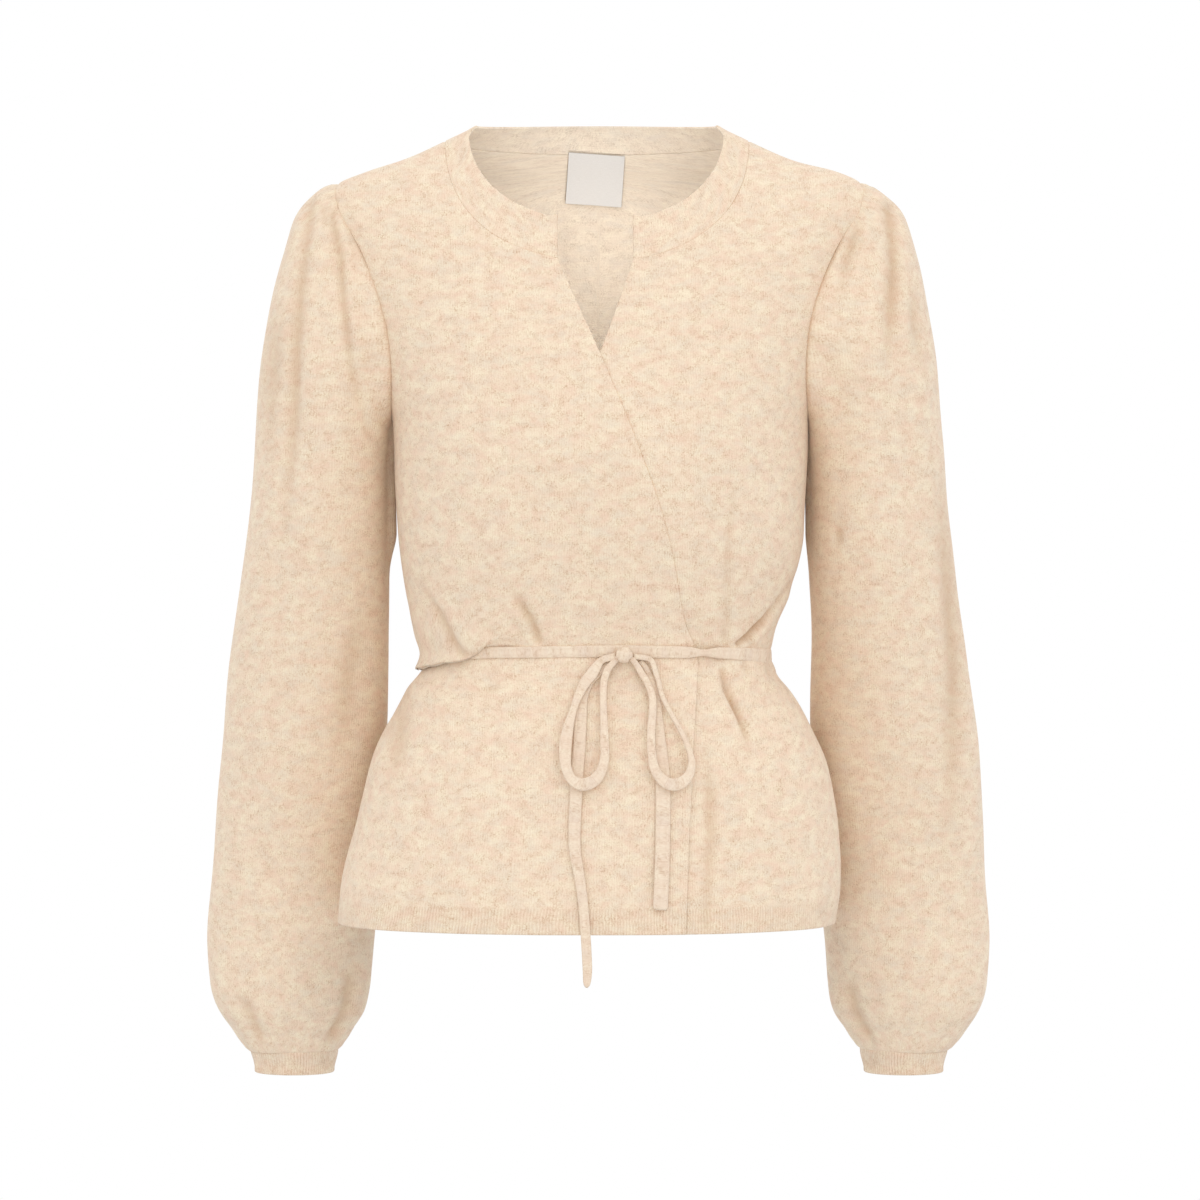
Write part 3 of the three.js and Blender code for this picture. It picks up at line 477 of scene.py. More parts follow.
def lap_lift(x, z):
    """How far the upper front stands out at this x and height, to clear the lower front."""
    return LAP * smooth(x, LAP_START, LAP_FULL) * smooth(NECK_CORNER - z, 0, 60)


def front_lift(x, z):
    """The lift of whatever lies on the front: over the upper front, then down its edge."""
    edge = wrap_x(z, -1)
    return lap_lift(x, z) * (1 - smooth(x, edge + 3, edge + 26)) + WALL / 2


def belt_height(angle):
    return mix(TIE_SIDE, TIE_FRONT, ((1 + np.cos(angle)) / 2) ** 2)


# ------------------------------------------------------------------ creases


def crease(x, z, line, depth, width, lip, side, start, end):
    """How far one crease moves the cloth out at x and z, and its shade at the bottom."""
    line = np.array(line, float)
    lengths = np.linalg.norm(np.diff(line, axis=0), axis=1)
    ahead = np.concatenate([[0], np.cumsum(lengths)])
    best = np.full(np.shape(x), 1e9)
    signed = np.zeros(np.shape(x))
    along = np.zeros(np.shape(x))
    for i, length in enumerate(lengths):
        way = (line[i + 1] - line[i]) / length
        dx, dz = x - line[i, 0], z - line[i, 1]
        t = np.clip(dx * way[0] + dz * way[1], 0, length)
        off = np.hypot(dx - t * way[0], dz - t * way[1])
        nearer = off < best
        best = np.where(nearer, off, best)
        signed = np.where(nearer, np.copysign(off, dx * -way[1] + dz * way[0]), signed)
        along = np.where(nearer, (ahead[i] + t) / ahead[-1], along)
    left = mix(start, 1, smooth(along, 0, 0.35)) * mix(end, 1, smooth(1 - along, 0, 0.6))
    trough = depth * np.exp(-((best / width) ** 2))
    ridge = lip * np.exp(-(((signed * side - 1.9 * width) / (1.4 * width)) ** 2))
    shade = min(1, depth / HOLLOW_FULL) * np.exp(-((best / (HOLLOW_WIDTH * width)) ** 2))
    return left * (ridge - trough), left * shade


def creases(x, z, folds):
    """How far the creases move the cloth out at x and z, and the painted shade at their bottoms."""
    pairs = [crease(x, z, **fold) for fold in folds]
    return sum(pair[0] for pair in pairs), np.clip(sum(pair[1] for pair in pairs), 0, 1)


def swell(x, z):
    """How far the long soft swells move the cloth out."""
    total = np.zeros(np.shape(x))
    for high, wide, tall, phase in zip(*SWELLS.values()):
        total += high * np.sin(2 * math.pi * (x / wide + z / tall) + phase)
    return total


def body_rise(angle, z, points):
    """How far the body's cloth stands off its plain form, and the painted shade in its creases."""
    x = points[..., 0]
    facing = np.cos(angle)
    front = smooth(facing, -0.12, 0.12)
    front_rise, front_painted_shade = creases(x, z, FRONT_FOLDS)
    back_rise, back_painted_shade = creases(x, z, BACK_FOLDS)
    near = np.exp(-(((z - belt_height(angle)) / BELT_PINCH) ** 2))
    neck = smooth(NECK_SEAM_TOP - z, 0, 40)
    rise = mix(back_rise, front_rise, front) + swell(x, z) * neck
    painted_shade = mix(back_painted_shade, front_painted_shade, front)
    return rise * (1 - 0.75 * near) - BELT_SINK * near, painted_shade * (1 - 0.6 * near)


def blouse(angle, z, points):
    """Where the cloth hangs over the tie at the wearer's right: how far down, and how far out.

    Going down, the cloth swells out over the tie, turns at the fold's edge, runs back up behind
    itself to the tie's upper edge and then passes under the tie.
    """
    x = points[..., 0]
    high = z - belt_height(angle)
    hang = smooth(-x, *BLOUSE_DOWN) * (1 - smooth(high, FOLD_AT, FOLD_TOP))
    behind = np.clip((high - UNDER_FROM) / (FOLD_AT - UNDER_FROM), 0, 1)
    down = (column(BLOUSE, "drop", x, "x") + FOLD_AT) * hang * behind
    level = smooth(-x, *BLOUSE_LEVEL)
    puff = mix(*BLOUSE_PUFF, level)
    sink = mix(*BLOUSE_SINK, level)
    rise = puff * (1 - smooth(high, *BLOUSE_FADE)) - FOLD_BACK * (1 - smooth(high, *FOLD_TURN))
    rise = mix(-sink, rise, smooth(high, *UNDER_TIE)) * (1 - smooth(-high, *UNDER_FADE))
    return down, rise * smooth(-x, *BLOUSE_OUT)


def seam_dip(gap, dip=SEAM_DIP):
    return -dip * np.exp(-((gap / SEAM_DIP_REACH) ** 2))


def rounded(gap, radius, least):
    """The share of the wall's thickness that is left at this distance from an edge."""
    inside = 1 - np.clip(gap / radius, 0, 1)
    return least + (1 - least) * np.sqrt(1 - inside * inside)


def free_edge(gap):
    return rounded(gap, FREE_ROUND, FREE_LEFT)


def seam_edge(gap):
    return rounded(gap, SEAM_ROUND, SEAM_LEFT)


# ------------------------------------------------------------------ meshes


def make_object(name, points, faces, uv, slots, kinds=None, painted_shade=None):
    """A smooth-shaded mesh object from points in millimetres and rows of four corners."""
    mesh = bpy.data.meshes.new(name)
    faces = np.asarray(faces, np.int32)
    mesh.vertices.add(len(points))
    mesh.vertices.foreach_set("co", (np.asarray(points) * MM).astype(np.float32).ravel())
    mesh.loops.add(faces.size)
    mesh.loops.foreach_set("vertex_index", faces.ravel())
    mesh.polygons.add(len(faces))
    mesh.polygons.foreach_set("loop_start", np.arange(0, faces.size, 4, dtype=np.int32))
    mesh.polygons.foreach_set("use_smooth", np.ones(len(faces), bool))
    if kinds is not None:
        mesh.polygons.foreach_set("material_index", np.asarray(kinds, np.int32))
    # the painted shade of creases and seams, read by the knit's material
    if painted_shade is not None:
        layer = mesh.attributes.new("painted_shade", "FLOAT", "POINT")
        layer.data.foreach_set("value", np.asarray(painted_shade, np.float32).ravel())
    layer = mesh.uv_layers.new(name="Knit")
    layer.data.foreach_set("uv", np.asarray(uv)[faces.ravel()].astype(np.float32).ravel())
    mesh.update(calc_edges=True)
    mesh.validate()
    thing = bpy.data.objects.new(name, mesh)
    bpy.context.scene.collection.objects.link(thing)
    for material in slots:
        mesh.materials.append(material)
    return thing


def turned_out(points, faces, away):
    """The faces, all turned over if the first of them face against these directions."""
    solid = points[faces[: len(away)]]
    facing = np.cross(solid[:, 1] - solid[:, 0], solid[:, 3] - solid[:, 0])
    return faces[:, ::-1] if np.sum(facing * away) < 0 else faces


def grid_faces(rows, columns, around):
    """Corners of the quads of a grid, by its own numbering."""
    r = np.arange(rows - 1)[:, None]
    c = np.arange(columns if around else columns - 1)[None, :]
    after = (c + 1) % columns
    here, below = r * columns, (r + 1) * columns
    return side_by_side(here + c, below + c, below + after, here + after).reshape(-1, 4)


def shell(name, middle, out, thick, uv, slots, around=False, kind=None, painted_shade=None):
    """A closed shell of cloth round a grid of points: its outside, its inside and its edges."""
    rows, columns = middle.shape[:2]
    half = (np.broadcast_to(thick, (rows, columns)) / 2)[..., None]
    points = np.concatenate(
        [(middle + out * half).reshape(-1, 3), (middle - out * half).reshape(-1, 3)]
    )
    count = rows * columns
    outside = grid_faces(rows, columns, around)
    inside = outside[:, ::-1] + count
    edge = []
    span = columns if around else columns - 1
    for c in range(span):
        after = (c + 1) % columns
        last = (rows - 1) * columns
        edge.append((c, after, after + count, c + count))
        edge.append((last + c, last + c + count, last + after + count, last + after))
    if not around:
        for r in range(rows - 1):
            a, b = r * columns, (r + 1) * columns
            edge.append((a, a + count, b + count, b))
            end, below = a + columns - 1, b + columns - 1
            edge.append((end, below, below + count, end + count))
    faces = np.concatenate([outside, inside, np.array(edge)])
    first = np.zeros(len(outside), int) if kind is None else kind
    kinds = np.concatenate([first, np.ones(len(inside), int), np.zeros(len(edge), int)])
    flat = np.concatenate([uv.reshape(-1, 2), uv.reshape(-1, 2)])
    faces = turned_out(points, faces, out.reshape(-1, 3)[outside[:, 0]])
    # the painted shade goes on the inside as well as the outside
    deep = None if painted_shade is None else np.concatenate([painted_shade.ravel(), painted_shade.ravel()])
    return make_object(name, points, faces, flat, slots, kinds, deep)


def places_along(length, first, last, count):
    """Places along rows of these lengths: stops near each end, and even steps between them."""
    first, last = np.array(first), np.array(last)
    squeeze = np.minimum(1, length / (2.5 * (first[-1] + last[-1])))[:, None]
    start = first[None, :] * squeeze
    end = length[:, None] - last[None, ::-1] * squeeze
    share = np.linspace(0, 1, count + 2)[1:-1]
    middle = start[:, -1:] + (end[:, :1] - start[:, -1:]) * share[None, :]
    return np.concatenate([start, middle, end], axis=1)


def path_length(points):
    """How far each point lies along a row of points."""
    steps = np.linalg.norm(np.diff(points, axis=-2), axis=-1)
    zero = np.zeros(steps.shape[:-1] + (1,))
    return np.concatenate([zero, np.cumsum(steps, axis=-1)], axis=-1)


def stands_for(piece, node):
    """Every piece rides on the one body, in place of the solid of this node."""
    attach(piece, "root")
    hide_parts(node)


# ------------------------------------------------------------------ materials


def linear(red, green, blue):
    """A colour as a screen shows it, 0 to 255, as the shader wants it."""
    shares = [v / 255 for v in (red, green, blue)]
    return tuple(v / 12.92 if v <= 0.04045 else ((v + 0.055) / 1.055) ** 2.4 for v in shares)


class Nodes:
    """A short way to write a material's nodes."""

    def __init__(self, name):
        self.material = bpy.data.materials.new(name)
        self.material.use_nodes = True
        self.tree = self.material.node_tree
        self.shader = self.tree.nodes["Principled BSDF"]

    def add(self, kind, **settings):
        node = self.tree.nodes.new(kind)
        for key, value in settings.items():
            setattr(node, key, value)
        return node

    def link(self, source, target):
        self.tree.links.new(source, target)

    def scaled(self, source, x, y, shift=0.0):
        """The coordinates stretched so that one unit is x by y millimetres."""
        node = self.add("ShaderNodeMapping")
        node.inputs["Location"].default_value = (shift, shift, 0)
        node.inputs["Scale"].default_value = (1 / x, 1 / y, 1)
        self.link(source, node.inputs["Vector"])
        return node.outputs["Vector"]

    def noise(self, source, x, y, detail=2.0, rough=0.5, warp=0.0, shift=0.0):
        """Soft noise with patches of about x by y millimetres; shift makes it a different one."""
        node = self.add("ShaderNodeTexNoise")
        node.inputs["Scale"].default_value = 1
        node.inputs["Detail"].default_value = detail
        node.inputs["Roughness"].default_value = rough
        node.inputs["Distortion"].default_value = warp
        self.link(self.scaled(source, x, y, shift), node.inputs["Vector"])
        return node.outputs["Fac"]

    def times(self, a, b):
        return self.maths("MULTIPLY", a, b)

    def plus(self, a, b):
        return self.maths("ADD", a, b)

    def maths(self, operation, a, b=None, clamp=False):
        node = self.add("ShaderNodeMath", operation=operation, use_clamp=clamp)
        for socket, value in zip(node.inputs, (a, b)):
            if value is None:
                continue
            if isinstance(value, (int, float)):
                socket.default_value = value
            else:
                self.link(value, socket)
        return node.outputs[0]

    def spread(self, source, low, high):
        """The source stretched so that low becomes 0 and high becomes 1."""
        node = self.add("ShaderNodeMapRange", clamp=True)
        node.inputs["From Min"].default_value = low
        node.inputs["From Max"].default_value = high
        self.link(source, node.inputs["Value"])
        return node.outputs["Result"]

    def blend(self, share, a, b):
        """Colour a where share is 0 and b where it is 1."""
        node = self.add("ShaderNodeMix", data_type="RGBA")
        if isinstance(share, (int, float)):
            node.inputs[0].default_value = share
        else:
            self.link(share, node.inputs[0])
        for socket, value in ((node.inputs[6], a), (node.inputs[7], b)):
            if isinstance(value, tuple):
                socket.default_value = (*value, 1)
            else:
                self.link(value, socket)
        return node.outputs[2]

    def bump(self, height, strength, depth):
        """Raises the surface by a height from 0 to 1, which stands for this depth in millimetres."""
        node = self.add("ShaderNodeBump")
        node.inputs["Strength"].default_value = strength
        node.inputs["Distance"].default_value = depth * MM
        self.link(height, node.inputs["Height"])
        self.link(node.outputs["Normal"], self.shader.inputs["Normal"])


# The yarn's mottling, soft patches a little longer than high and flecks in clusters: the patches'
# width and height, the noise's detail, roughness, warp and shift, and what becomes 0 and 1.
MOTTLE = {
    "warm": (13.0, 9.5, 4.0, 0.62, 0.3, 0.0, 0.36, 0.64),
    "cool": (17.0, 10.0, 4.0, 0.62, 0.3, 31.0, 0.46, 0.68),
    "wisp": (8.0, 5.0, 5.0, 0.7, 0.4, 57.0, 0.50, 0.72),
    "cluster": (8.0, 6.0, 4.0, 0.66, 0.4, 83.0, 0.44, 0.66),
    "grain": (1.1, 1.0, 1.0, 0.6, 0.0, 19.0, 0.44, 0.68),
    "thread": (0.9, 3.4, 2.0, 0.6, 0.0, 7.0, 0.42, 0.66),
}
COURSE = 1.25  # height of one row of loops
HOLLOW_SHADE = 0.8  # painted shade: how far the cloth goes toward the fleck's brown in the deepest crease


def knit(name, tones, pitch, loops, courses=0.0, mottle=1.0, sheen=0.2):
    """Fine brushed knit in mottled yarn. pitch is the width of one column of loops.

    loops says how deep the columns look, and courses how deep the rows of purl bars do.
    """
    n = Nodes(name)
    cream, pink, grey, fleck = tones
    place = n.add("ShaderNodeUVMap", uv_map="Knit").outputs["UV"]
    split = n.add("ShaderNodeSeparateXYZ")
    n.link(place, split.inputs[0])
    u, v = split.outputs[0], split.outputs[1]

    def patches(kind):
        *noise, low, high = MOTTLE[kind]
        return n.spread(n.noise(place, *noise), low, high)

    tint = n.blend(n.times(patches("warm"), 0.95 * mottle), cream, pink)
    tint = n.blend(n.times(patches("cool"), 0.7 * mottle), tint, grey)
    tint = n.blend(n.times(patches("wisp"), 0.2 * mottle), tint, fleck)
    speckled = n.plus(n.times(patches("grain"), 0.6), n.times(patches("thread"), 0.5))
    flecks = n.times(speckled, n.plus(n.times(patches("cluster"), 0.6), 0.26))
    tint = n.blend(n.times(flecks, mottle), tint, fleck)

    # columns of loops, which wander a little, and purl bars across them
    wander = n.times(n.noise(place, 7.0, 11.0), 1.3)

    def wave(way, long):
        turns = n.times(n.plus(n.maths("DIVIDE", way, long), wander), math.tau)
        return n.times(n.plus(n.maths("SINE", turns), 1.0), 0.5)

    ribs = wave(u, pitch)
    bars = wave(v, COURSE)
    # painted shade: the grooves between the columns of loops and under the purl bars go toward the
    # fleck's brown
    between = n.times(n.maths("SUBTRACT", 1.0, ribs), 0.10 * loops)
    under = n.times(n.maths("SUBTRACT", 1.0, bars), 0.16 * courses)
    tint = n.blend(n.plus(between, under), tint, fleck)
    # painted shade: the cloth goes toward the fleck's brown deep in a crease and along the armhole's seam
    deep = n.add("ShaderNodeAttribute", attribute_name="painted_shade").outputs["Fac"]
    tint = n.blend(n.times(deep, HOLLOW_SHADE), tint, fleck)
    n.link(tint, n.shader.inputs["Base Color"])

    nap = n.noise(place, 0.8, 1.1, 3.0, 0.7)
    high = n.plus(n.times(ribs, 0.5 * loops), n.times(nap, 0.7))
    high = n.plus(high, n.times(bars, 0.5 * courses))
    n.bump(high, 0.5, 0.35)
    n.shader.inputs["Roughness"].default_value = 0.95
    n.shader.inputs["Specular IOR Level"].default_value = 0.15
    n.shader.inputs["Sheen Weight"].default_value = sheen
    n.shader.inputs["Sheen Roughness"].default_value = 0.55
    return n.material


def woven(name, colour, dark):
    """Plain tape: a close weave with a faint gloss."""
    n = Nodes(name)
    place = n.add("ShaderNodeUVMap", uv_map="Knit").outputs["UV"]
    threads = n.noise(place, 3.2, 0.28, 2.0, 0.6)
    picks = n.noise(place, 0.28, 1.4, 2.0, 0.6)
    both = n.times(n.plus(threads, picks), 0.5)
    n.link(n.blend(n.spread(both, 0.35, 0.65), dark, colour), n.shader.inputs["Base Color"])
    n.bump(both, 0.3, 0.1)
    n.shader.inputs["Roughness"].default_value = 0.62
    n.shader.inputs["Specular IOR Level"].default_value = 0.3
    return n.material


def shades(*rows):
    return [linear(*row) for row in rows]


# cream, pink beige, grey beige and brown: the yarn's four shades
FACE = shades((244, 230, 205), (237, 211, 189), (231, 218, 199), (190, 154, 119))
REVERSE = shades((236, 224, 204), (229, 213, 195), (222, 212, 198), (178, 156, 134))
# painted shade: the tie's shades are a little darker than the face's, to offset the extra light that the
# standing straps catch
TIE_SHADES = shades((240, 225, 203), (233, 210, 189), (228, 211, 195), (190, 156, 125))

knit_out = knit("knit_face", FACE, 1.75, 1.0)
knit_in = knit("knit_reverse", REVERSE, 1.75, 0.1, 1.0, 0.9)
knit_rib = knit("knit_rib", FACE, 2.1, 2.4)
knit_tie = knit("knit_tie", TIE_SHADES, 1.6, 0.8, 0.0, 0.85)
label_cloth = woven("label_tape", linear(213, 210, 206), linear(203, 199, 194))


# ------------------------------------------------------------------ camera

CAMERA_PLACE = (0.7, -4000.0, -235.0)
CAMERA_AIM = (0.7, 0.0, -340.0)
CAMERA_LENS = 166.7


def make_camera():
    data = bpy.data.cameras.new("camera")
    data.lens = CAMERA_LENS
    data.sensor_width = 36.0
    camera = bpy.data.objects.new("camera", data)
    bpy.context.scene.collection.objects.link(camera)
    camera.location = [v * MM for v in CAMERA_PLACE]
    drop = CAMERA_AIM[2] - CAMERA_PLACE[2]
    pitch = math.atan2(drop, CAMERA_AIM[1] - CAMERA_PLACE[1])
    camera.rotation_euler = (math.pi / 2 + pitch, 0, 0)
    bpy.context.scene.camera = camera


make_camera()


# ------------------------------------------------------------------ the tie


def even_path(route, step, lifts):
    """A smooth line through a route's points on the front, in even steps, with its widths."""
    x, z, wide = route["x"], route["z"], route["wide"]
    knots = np.concatenate([[0], np.cumsum(np.hypot(np.diff(x), np.diff(z)))])
    count = int(knots[-1] / step) + 1
    at = np.linspace(0, knots[-1], count)

    def through(values):
        slopes = np.gradient(values, knots)
        i = np.clip(np.searchsorted(knots, at) - 1, 0, len(knots) - 2)
        run = knots[i + 1] - knots[i]
        t = (at - knots[i]) / run
        low, high = values[i], values[i + 1]
        a, b = slopes[i] * run, slopes[i + 1] * run
        return (low * (2 * t**3 - 3 * t**2 + 1) + high * (3 * t**2 - 2 * t**3)
                + a * (t**3 - 2 * t**2 + t) + b * (t**3 - t**2))

    px, pz = through(x), through(z)
    angle = angle_at_x(px, pz)
    base = torso(angle, pz)
    out = torso_normal(angle, pz)
    rise = front_lift(px, pz) + body_rise(angle, pz, base)[0] + lifts(at / knots[-1])
    return base + out * rise[:, None], out, through(wide)


def tube(name, line, out, wide, thick, closed=False, around=18, flat=3.8):
    """A soft flat strap along a line, wide along the cloth and rounded at its edges."""
    count = len(line)
    if closed:
        along = unit(np.roll(line, -1, axis=0) - np.roll(line, 1, axis=0))
    else:
        along = unit(np.gradient(line, axis=0))
    side = unit(np.cross(along, out))
    up = np.cross(side, along)
    turn = np.arange(around) / around * math.tau
    s, c = np.sin(turn), np.cos(turn)
    across_share = np.sign(c) * np.abs(c) ** (2 / flat)
    up_share = np.sign(s) * np.abs(s) ** (2 / flat)
    points = (
        line[:, None, :]
        + side[:, None, :] * (wide[:, None] / 2 * across_share)[..., None]
        + up[:, None, :] * (thick[:, None] / 2 * up_share)[..., None]
    )
    length = path_length(line)
    uv = side_by_side(turn[None, :] / math.tau * 2 * TIE_WIDE, length[:, None])
    index = np.arange(count * around).reshape(count, around)
    after = np.roll(index, -1, axis=0) if closed else index[1:]
    before = index if closed else index[:-1]
    quads = np.stack([before, np.roll(before, -1, axis=1), np.roll(after, -1, axis=1), after], axis=-1)
    quads = quads.reshape(-1, 4)
    flat_points = points.reshape(-1, 3)
    flat_uv = uv.reshape(-1, 2)
    if not closed:
        middle = len(flat_points)
        flat_points = np.concatenate([flat_points, line[:1], line[-1:]])
        flat_uv = np.concatenate([flat_uv, flat_uv[:1], flat_uv[-1:]])
        caps = []
        for k in range(0, around, 2):
            a, b, d = index[0, k], index[0, (k + 1) % around], index[0, (k + 2) % around]
            caps.append((middle, d, b, a))
            a, b, d = index[-1, k], index[-1, (k + 1) % around], index[-1, (k + 2) % around]
            caps.append((middle + 1, a, b, d))
        quads = np.concatenate([quads, np.array(caps)])
    some = quads[: count * around // 2, 0]
    quads = turned_out(flat_points, quads, flat_points[some] - np.repeat(line, around, axis=0)[some])
    return make_object(name, flat_points, quads, flat_uv, [knit_tie])


def run_on(route, first, last):
    """The route with one more point at each end, where the strap goes in under the knot."""
    wide = route["wide"]
    return {
        "x": np.concatenate([[first[0]], route["x"], [last[0]]]),
        "z": np.concatenate([[first[1]], route["z"], [last[1]]]),
        "wide": np.concatenate([wide[:1], wide, wide[-1:]]),
    }


def loose_strap(name, node, route, layer, far_end, square_end=False):
    """One free stretch of the tie, on this many layers of strap."""

    def lifts(share):
        base = STACK + LOOSE_THICK / 2 + layer * (LOOSE_THICK + STACK)
        loop = layer * LOOP_RISE * np.sin(math.pi * share) ** 2
        return base + loop + TAIL_RISE * share**4 * (1 - layer)

    line, out, share = even_path(route, STRAP_STEP, lifts)
    wide = TIE_WIDE * share
    thick = SOFT_THICK * (1 + 0.5 * np.clip(1 - share, 0, 1))
    at = path_length(line)
    if far_end == "bare":
        gap = at[-1] - at
        reach = 1.2 if square_end else 5.0
        wide = wide * rounded(gap, reach, 0.75 if square_end else 0.3)
        thick = thick * rounded(gap, reach, 0.5)
    piece = tube(name, line, out, wide, thick)
    stands_for(piece, node)
    return piece


loose_strap("Tie_tail_right", "tie_tail_right", TAIL_AT_RIGHT, 0, "bare")
loose_strap("Tie_tail_left", "tie_tail_left", TAIL_AT_LEFT, 0, "bare", True)
right_loop = run_on(LOOP_AT_RIGHT, *RIGHT_LOOP_ENDS)
left_loop = run_on(LOOP_AT_LEFT, *LEFT_LOOP_ENDS)
loose_strap("Bow_loop_right", "bow_loop_right", right_loop, 1, "object")
loose_strap("Bow_loop_left", "bow_loop_left", left_loop, 1, "object")


def make_belt():
    """The stretch of the tie that goes round the waist."""
    angle = np.linspace(0, math.tau, 361)[:-1]
    z = belt_height(angle)
    base = torso(angle, z)
    out = torso_normal(angle, z)
    cloth = np.where(np.cos(angle) > 0, front_lift(base[:, 0], z), WALL / 2)
    cloth = cloth + body_rise(angle, z, base)[0] + blouse(angle, z, base)[1]
    cloth = cloth - BELT_SIDE_SINK * np.sin(angle) ** 8
    line = base + out * (cloth + BELT_STAND + TIE_THICK / 2)[:, None]
    # it narrows where it is turned over, past the wrap edge, and lies wider beyond
    off = (base[:, 0] - BELT_TWIST["x"]) / BELT_TWIST["reach"]
    twist = np.exp(-(off ** 2)) * (np.cos(angle) > 0)
    beyond = smooth(base[:, 0], BELT_BEYOND["from"], BELT_BEYOND["to"])
    line[:, 2] -= BELT_BEYOND["low"] * beyond * (np.cos(angle) > -0.2)
    share = 1 - BELT_TWIST["narrow"] * twist + BELT_BEYOND["wide"] * beyond
    wide = TIE_WIDE * share * (1 + 0.04 * np.sin(5 * angle + 0.6))
    thick = TIE_THICK * (1 + BELT_TWIST["thick"] * twist)
    piece = tube("Waist_tie", line, out, wide, thick, closed=True)
    stands_for(piece, "waist_tie")


def make_knot():
    """The knot: a strap drawn tight over itself, so a rounded lump with a soft crease each side."""
    z = KNOT["z"]
    angle = angle_at_x(KNOT["x"], z)
    out = torso_normal(angle, z)
    lift = front_lift(KNOT["x"], z) + TIE_STAND + TIE_THICK + STACK + KNOT["thick"] / 2
    centre = torso(angle, z) + out * lift
    rows, columns = 40, 56
    polar = np.linspace(0.02, math.pi - 0.02, rows)[:, None]
    turn = (np.arange(columns) / columns * math.tau)[None, :]
    x = np.sin(polar) * np.cos(turn)
    y = -np.sin(polar) * np.sin(turn)
    up = np.broadcast_to(np.cos(polar), x.shape)
    band = np.exp(-(((x - 0.12 * up) / 0.62) ** 4))
    creased = 0.10 * np.exp(-(((np.abs(x - 0.12 * up) - 0.72) / 0.10) ** 2))
    size = 0.9 + 0.1 * band - creased + 0.03 * np.sin(6 * up + 2.4 * x)
    local = np.stack([x * KNOT["wide"] / 2, y * KNOT["thick"] / 2, up * KNOT["high"] / 2], axis=-1)
    local = local * size[..., None]
    ahead = -out
    side = unit(np.cross(np.array([0.0, 0.0, 1.0]), ahead))
    top = np.cross(ahead, side)
    points = centre + local[..., :1] * -side + local[..., 1:2] * ahead + local[..., 2:] * top
    uv = side_by_side(turn * 4, polar * 4)
    quads = grid_faces(rows, columns, True)
    flat_points = points.reshape(-1, 3)
    quads = turned_out(flat_points, quads, flat_points[quads[:, 0]] - centre)
    piece = make_object("Bow_knot", flat_points, quads, uv.reshape(-1, 2), [knit_tie])
    stands_for(piece, "bow_knot")


make_belt()
make_knot()

# ------------------------------------------------------------------ body panels

FRONT_COLUMNS = 130
BACK_COLUMNS = 150
SLEEVE_COLUMNS = 140
# distances from an edge at which its first points lie
SIDE_STOPS = [0, 0.15, 0.45, 0.8, 1.6, 2.8]
WRAP_STOPS = [0, 0.15, 0.5, 1.0, 2.2, 3.6, 5.0, 5.7, 6.3, 7.2, 8.8]
HEM_STOPS = np.array([0, 0.15, 0.5, 1.0, 2.0])


def body_rows():
    """Heights of the rows: close together over the shoulder and round the armhole's ends."""
    shoulder = np.linspace(-11.0, -41.0, 34)
    turns = np.linspace(0, math.pi, 66)
    armhole = ARMHOLE_MIDDLE + ARMHOLE_HALF * np.cos(turns)
    near_neck = np.linspace(-80.0, NECK_CORNER, 16)
    lower = np.arange(ARMHOLE_BOTTOM - 2.5, HEM + 4, -STEP)
    waist = np.arange(TIE_FRONT + FOLD_TOP - 4, TIE_SIDE - 12, -WAIST_STEP)
    lower = lower[(lower > waist[0]) | (lower < waist[-1])]
    rows = np.concatenate([shoulder, armhole, near_neck, lower, waist, HEM + HEM_STOPS])
    rows = np.sort(rows)[::-1]
    kept = [rows[0]]
    exact = set(np.round(HEM + HEM_STOPS, 6)) | {NECK_CORNER}
    for z in rows[1:]:
        if kept[-1] - z > 0.45 or round(float(z), 6) in exact:
            kept.append(z)
    return np.array(kept)


BODY_ROWS = body_rows()
DOWN = path_length(torso(np.full(len(BODY_ROWS), 0.5), BODY_ROWS))
TO_HEM = DOWN[-1] - DOWN


def row_angles(start, end, first, last, count):
    """Angles of each row's points, from the side seam to the other edge, and their distances."""
    samples = np.linspace(0, 1, 500)
    angle = start[:, None] + (end - start)[:, None] * samples[None, :]
    length = path_length(torso(angle, BODY_ROWS[:, None]))
    places = places_along(length[:, -1], first, last, count)
    found = np.array([np.interp(p, far, a) for p, far, a in zip(places, length, angle)])
    return found, places, length[:, -1:] - places


def around_from_front(angle):
    """Distance round the body from the centre front, at every row."""
    samples = np.linspace(0, math.pi, 400)
    rows = [path_length(torso(samples, z)) for z in BODY_ROWS]
    return np.array([np.sign(a) * np.interp(np.abs(a), samples, far) for a, far in zip(angle, rows)])


def hem_kinds(rows, columns):
    """The rib at the hem has its own material."""
    return np.repeat(np.where(TO_HEM[: rows - 1] < HEM_RIB, 2, 0), columns - 1)


def finish_cloth(piece, node):
    """Every piece of cloth rides on the one body, in place of its solid."""
    stands_for(piece, node)


def dress_body(name, node, angle, z, u, lift, thick):
    """A panel of the body: its rows' angles and heights, and how far out each point lies."""
    plain = torso(angle, z)
    rise, painted_shade = body_rise(angle, z, plain)
    down, out_by = blouse(angle, z, plain)
    base = torso(angle, z - down)
    out = torso_normal(angle, z - down)
    points = base + out * (lift + rise + out_by)[..., None]
    uv = side_by_side(u, -DOWN[:, None])
    piece = shell(name, points, out, thick, uv, [knit_out, knit_in, knit_rib],
                  kind=hem_kinds(*angle.shape), painted_shade=painted_shade)
    finish_cloth(piece, node)


def side_seam_depth(z):
    """The shoulder's and the upper armhole's seam is pressed flatter than the rest."""
    return 0.3 + 0.7 * smooth(-z, 62, 120)


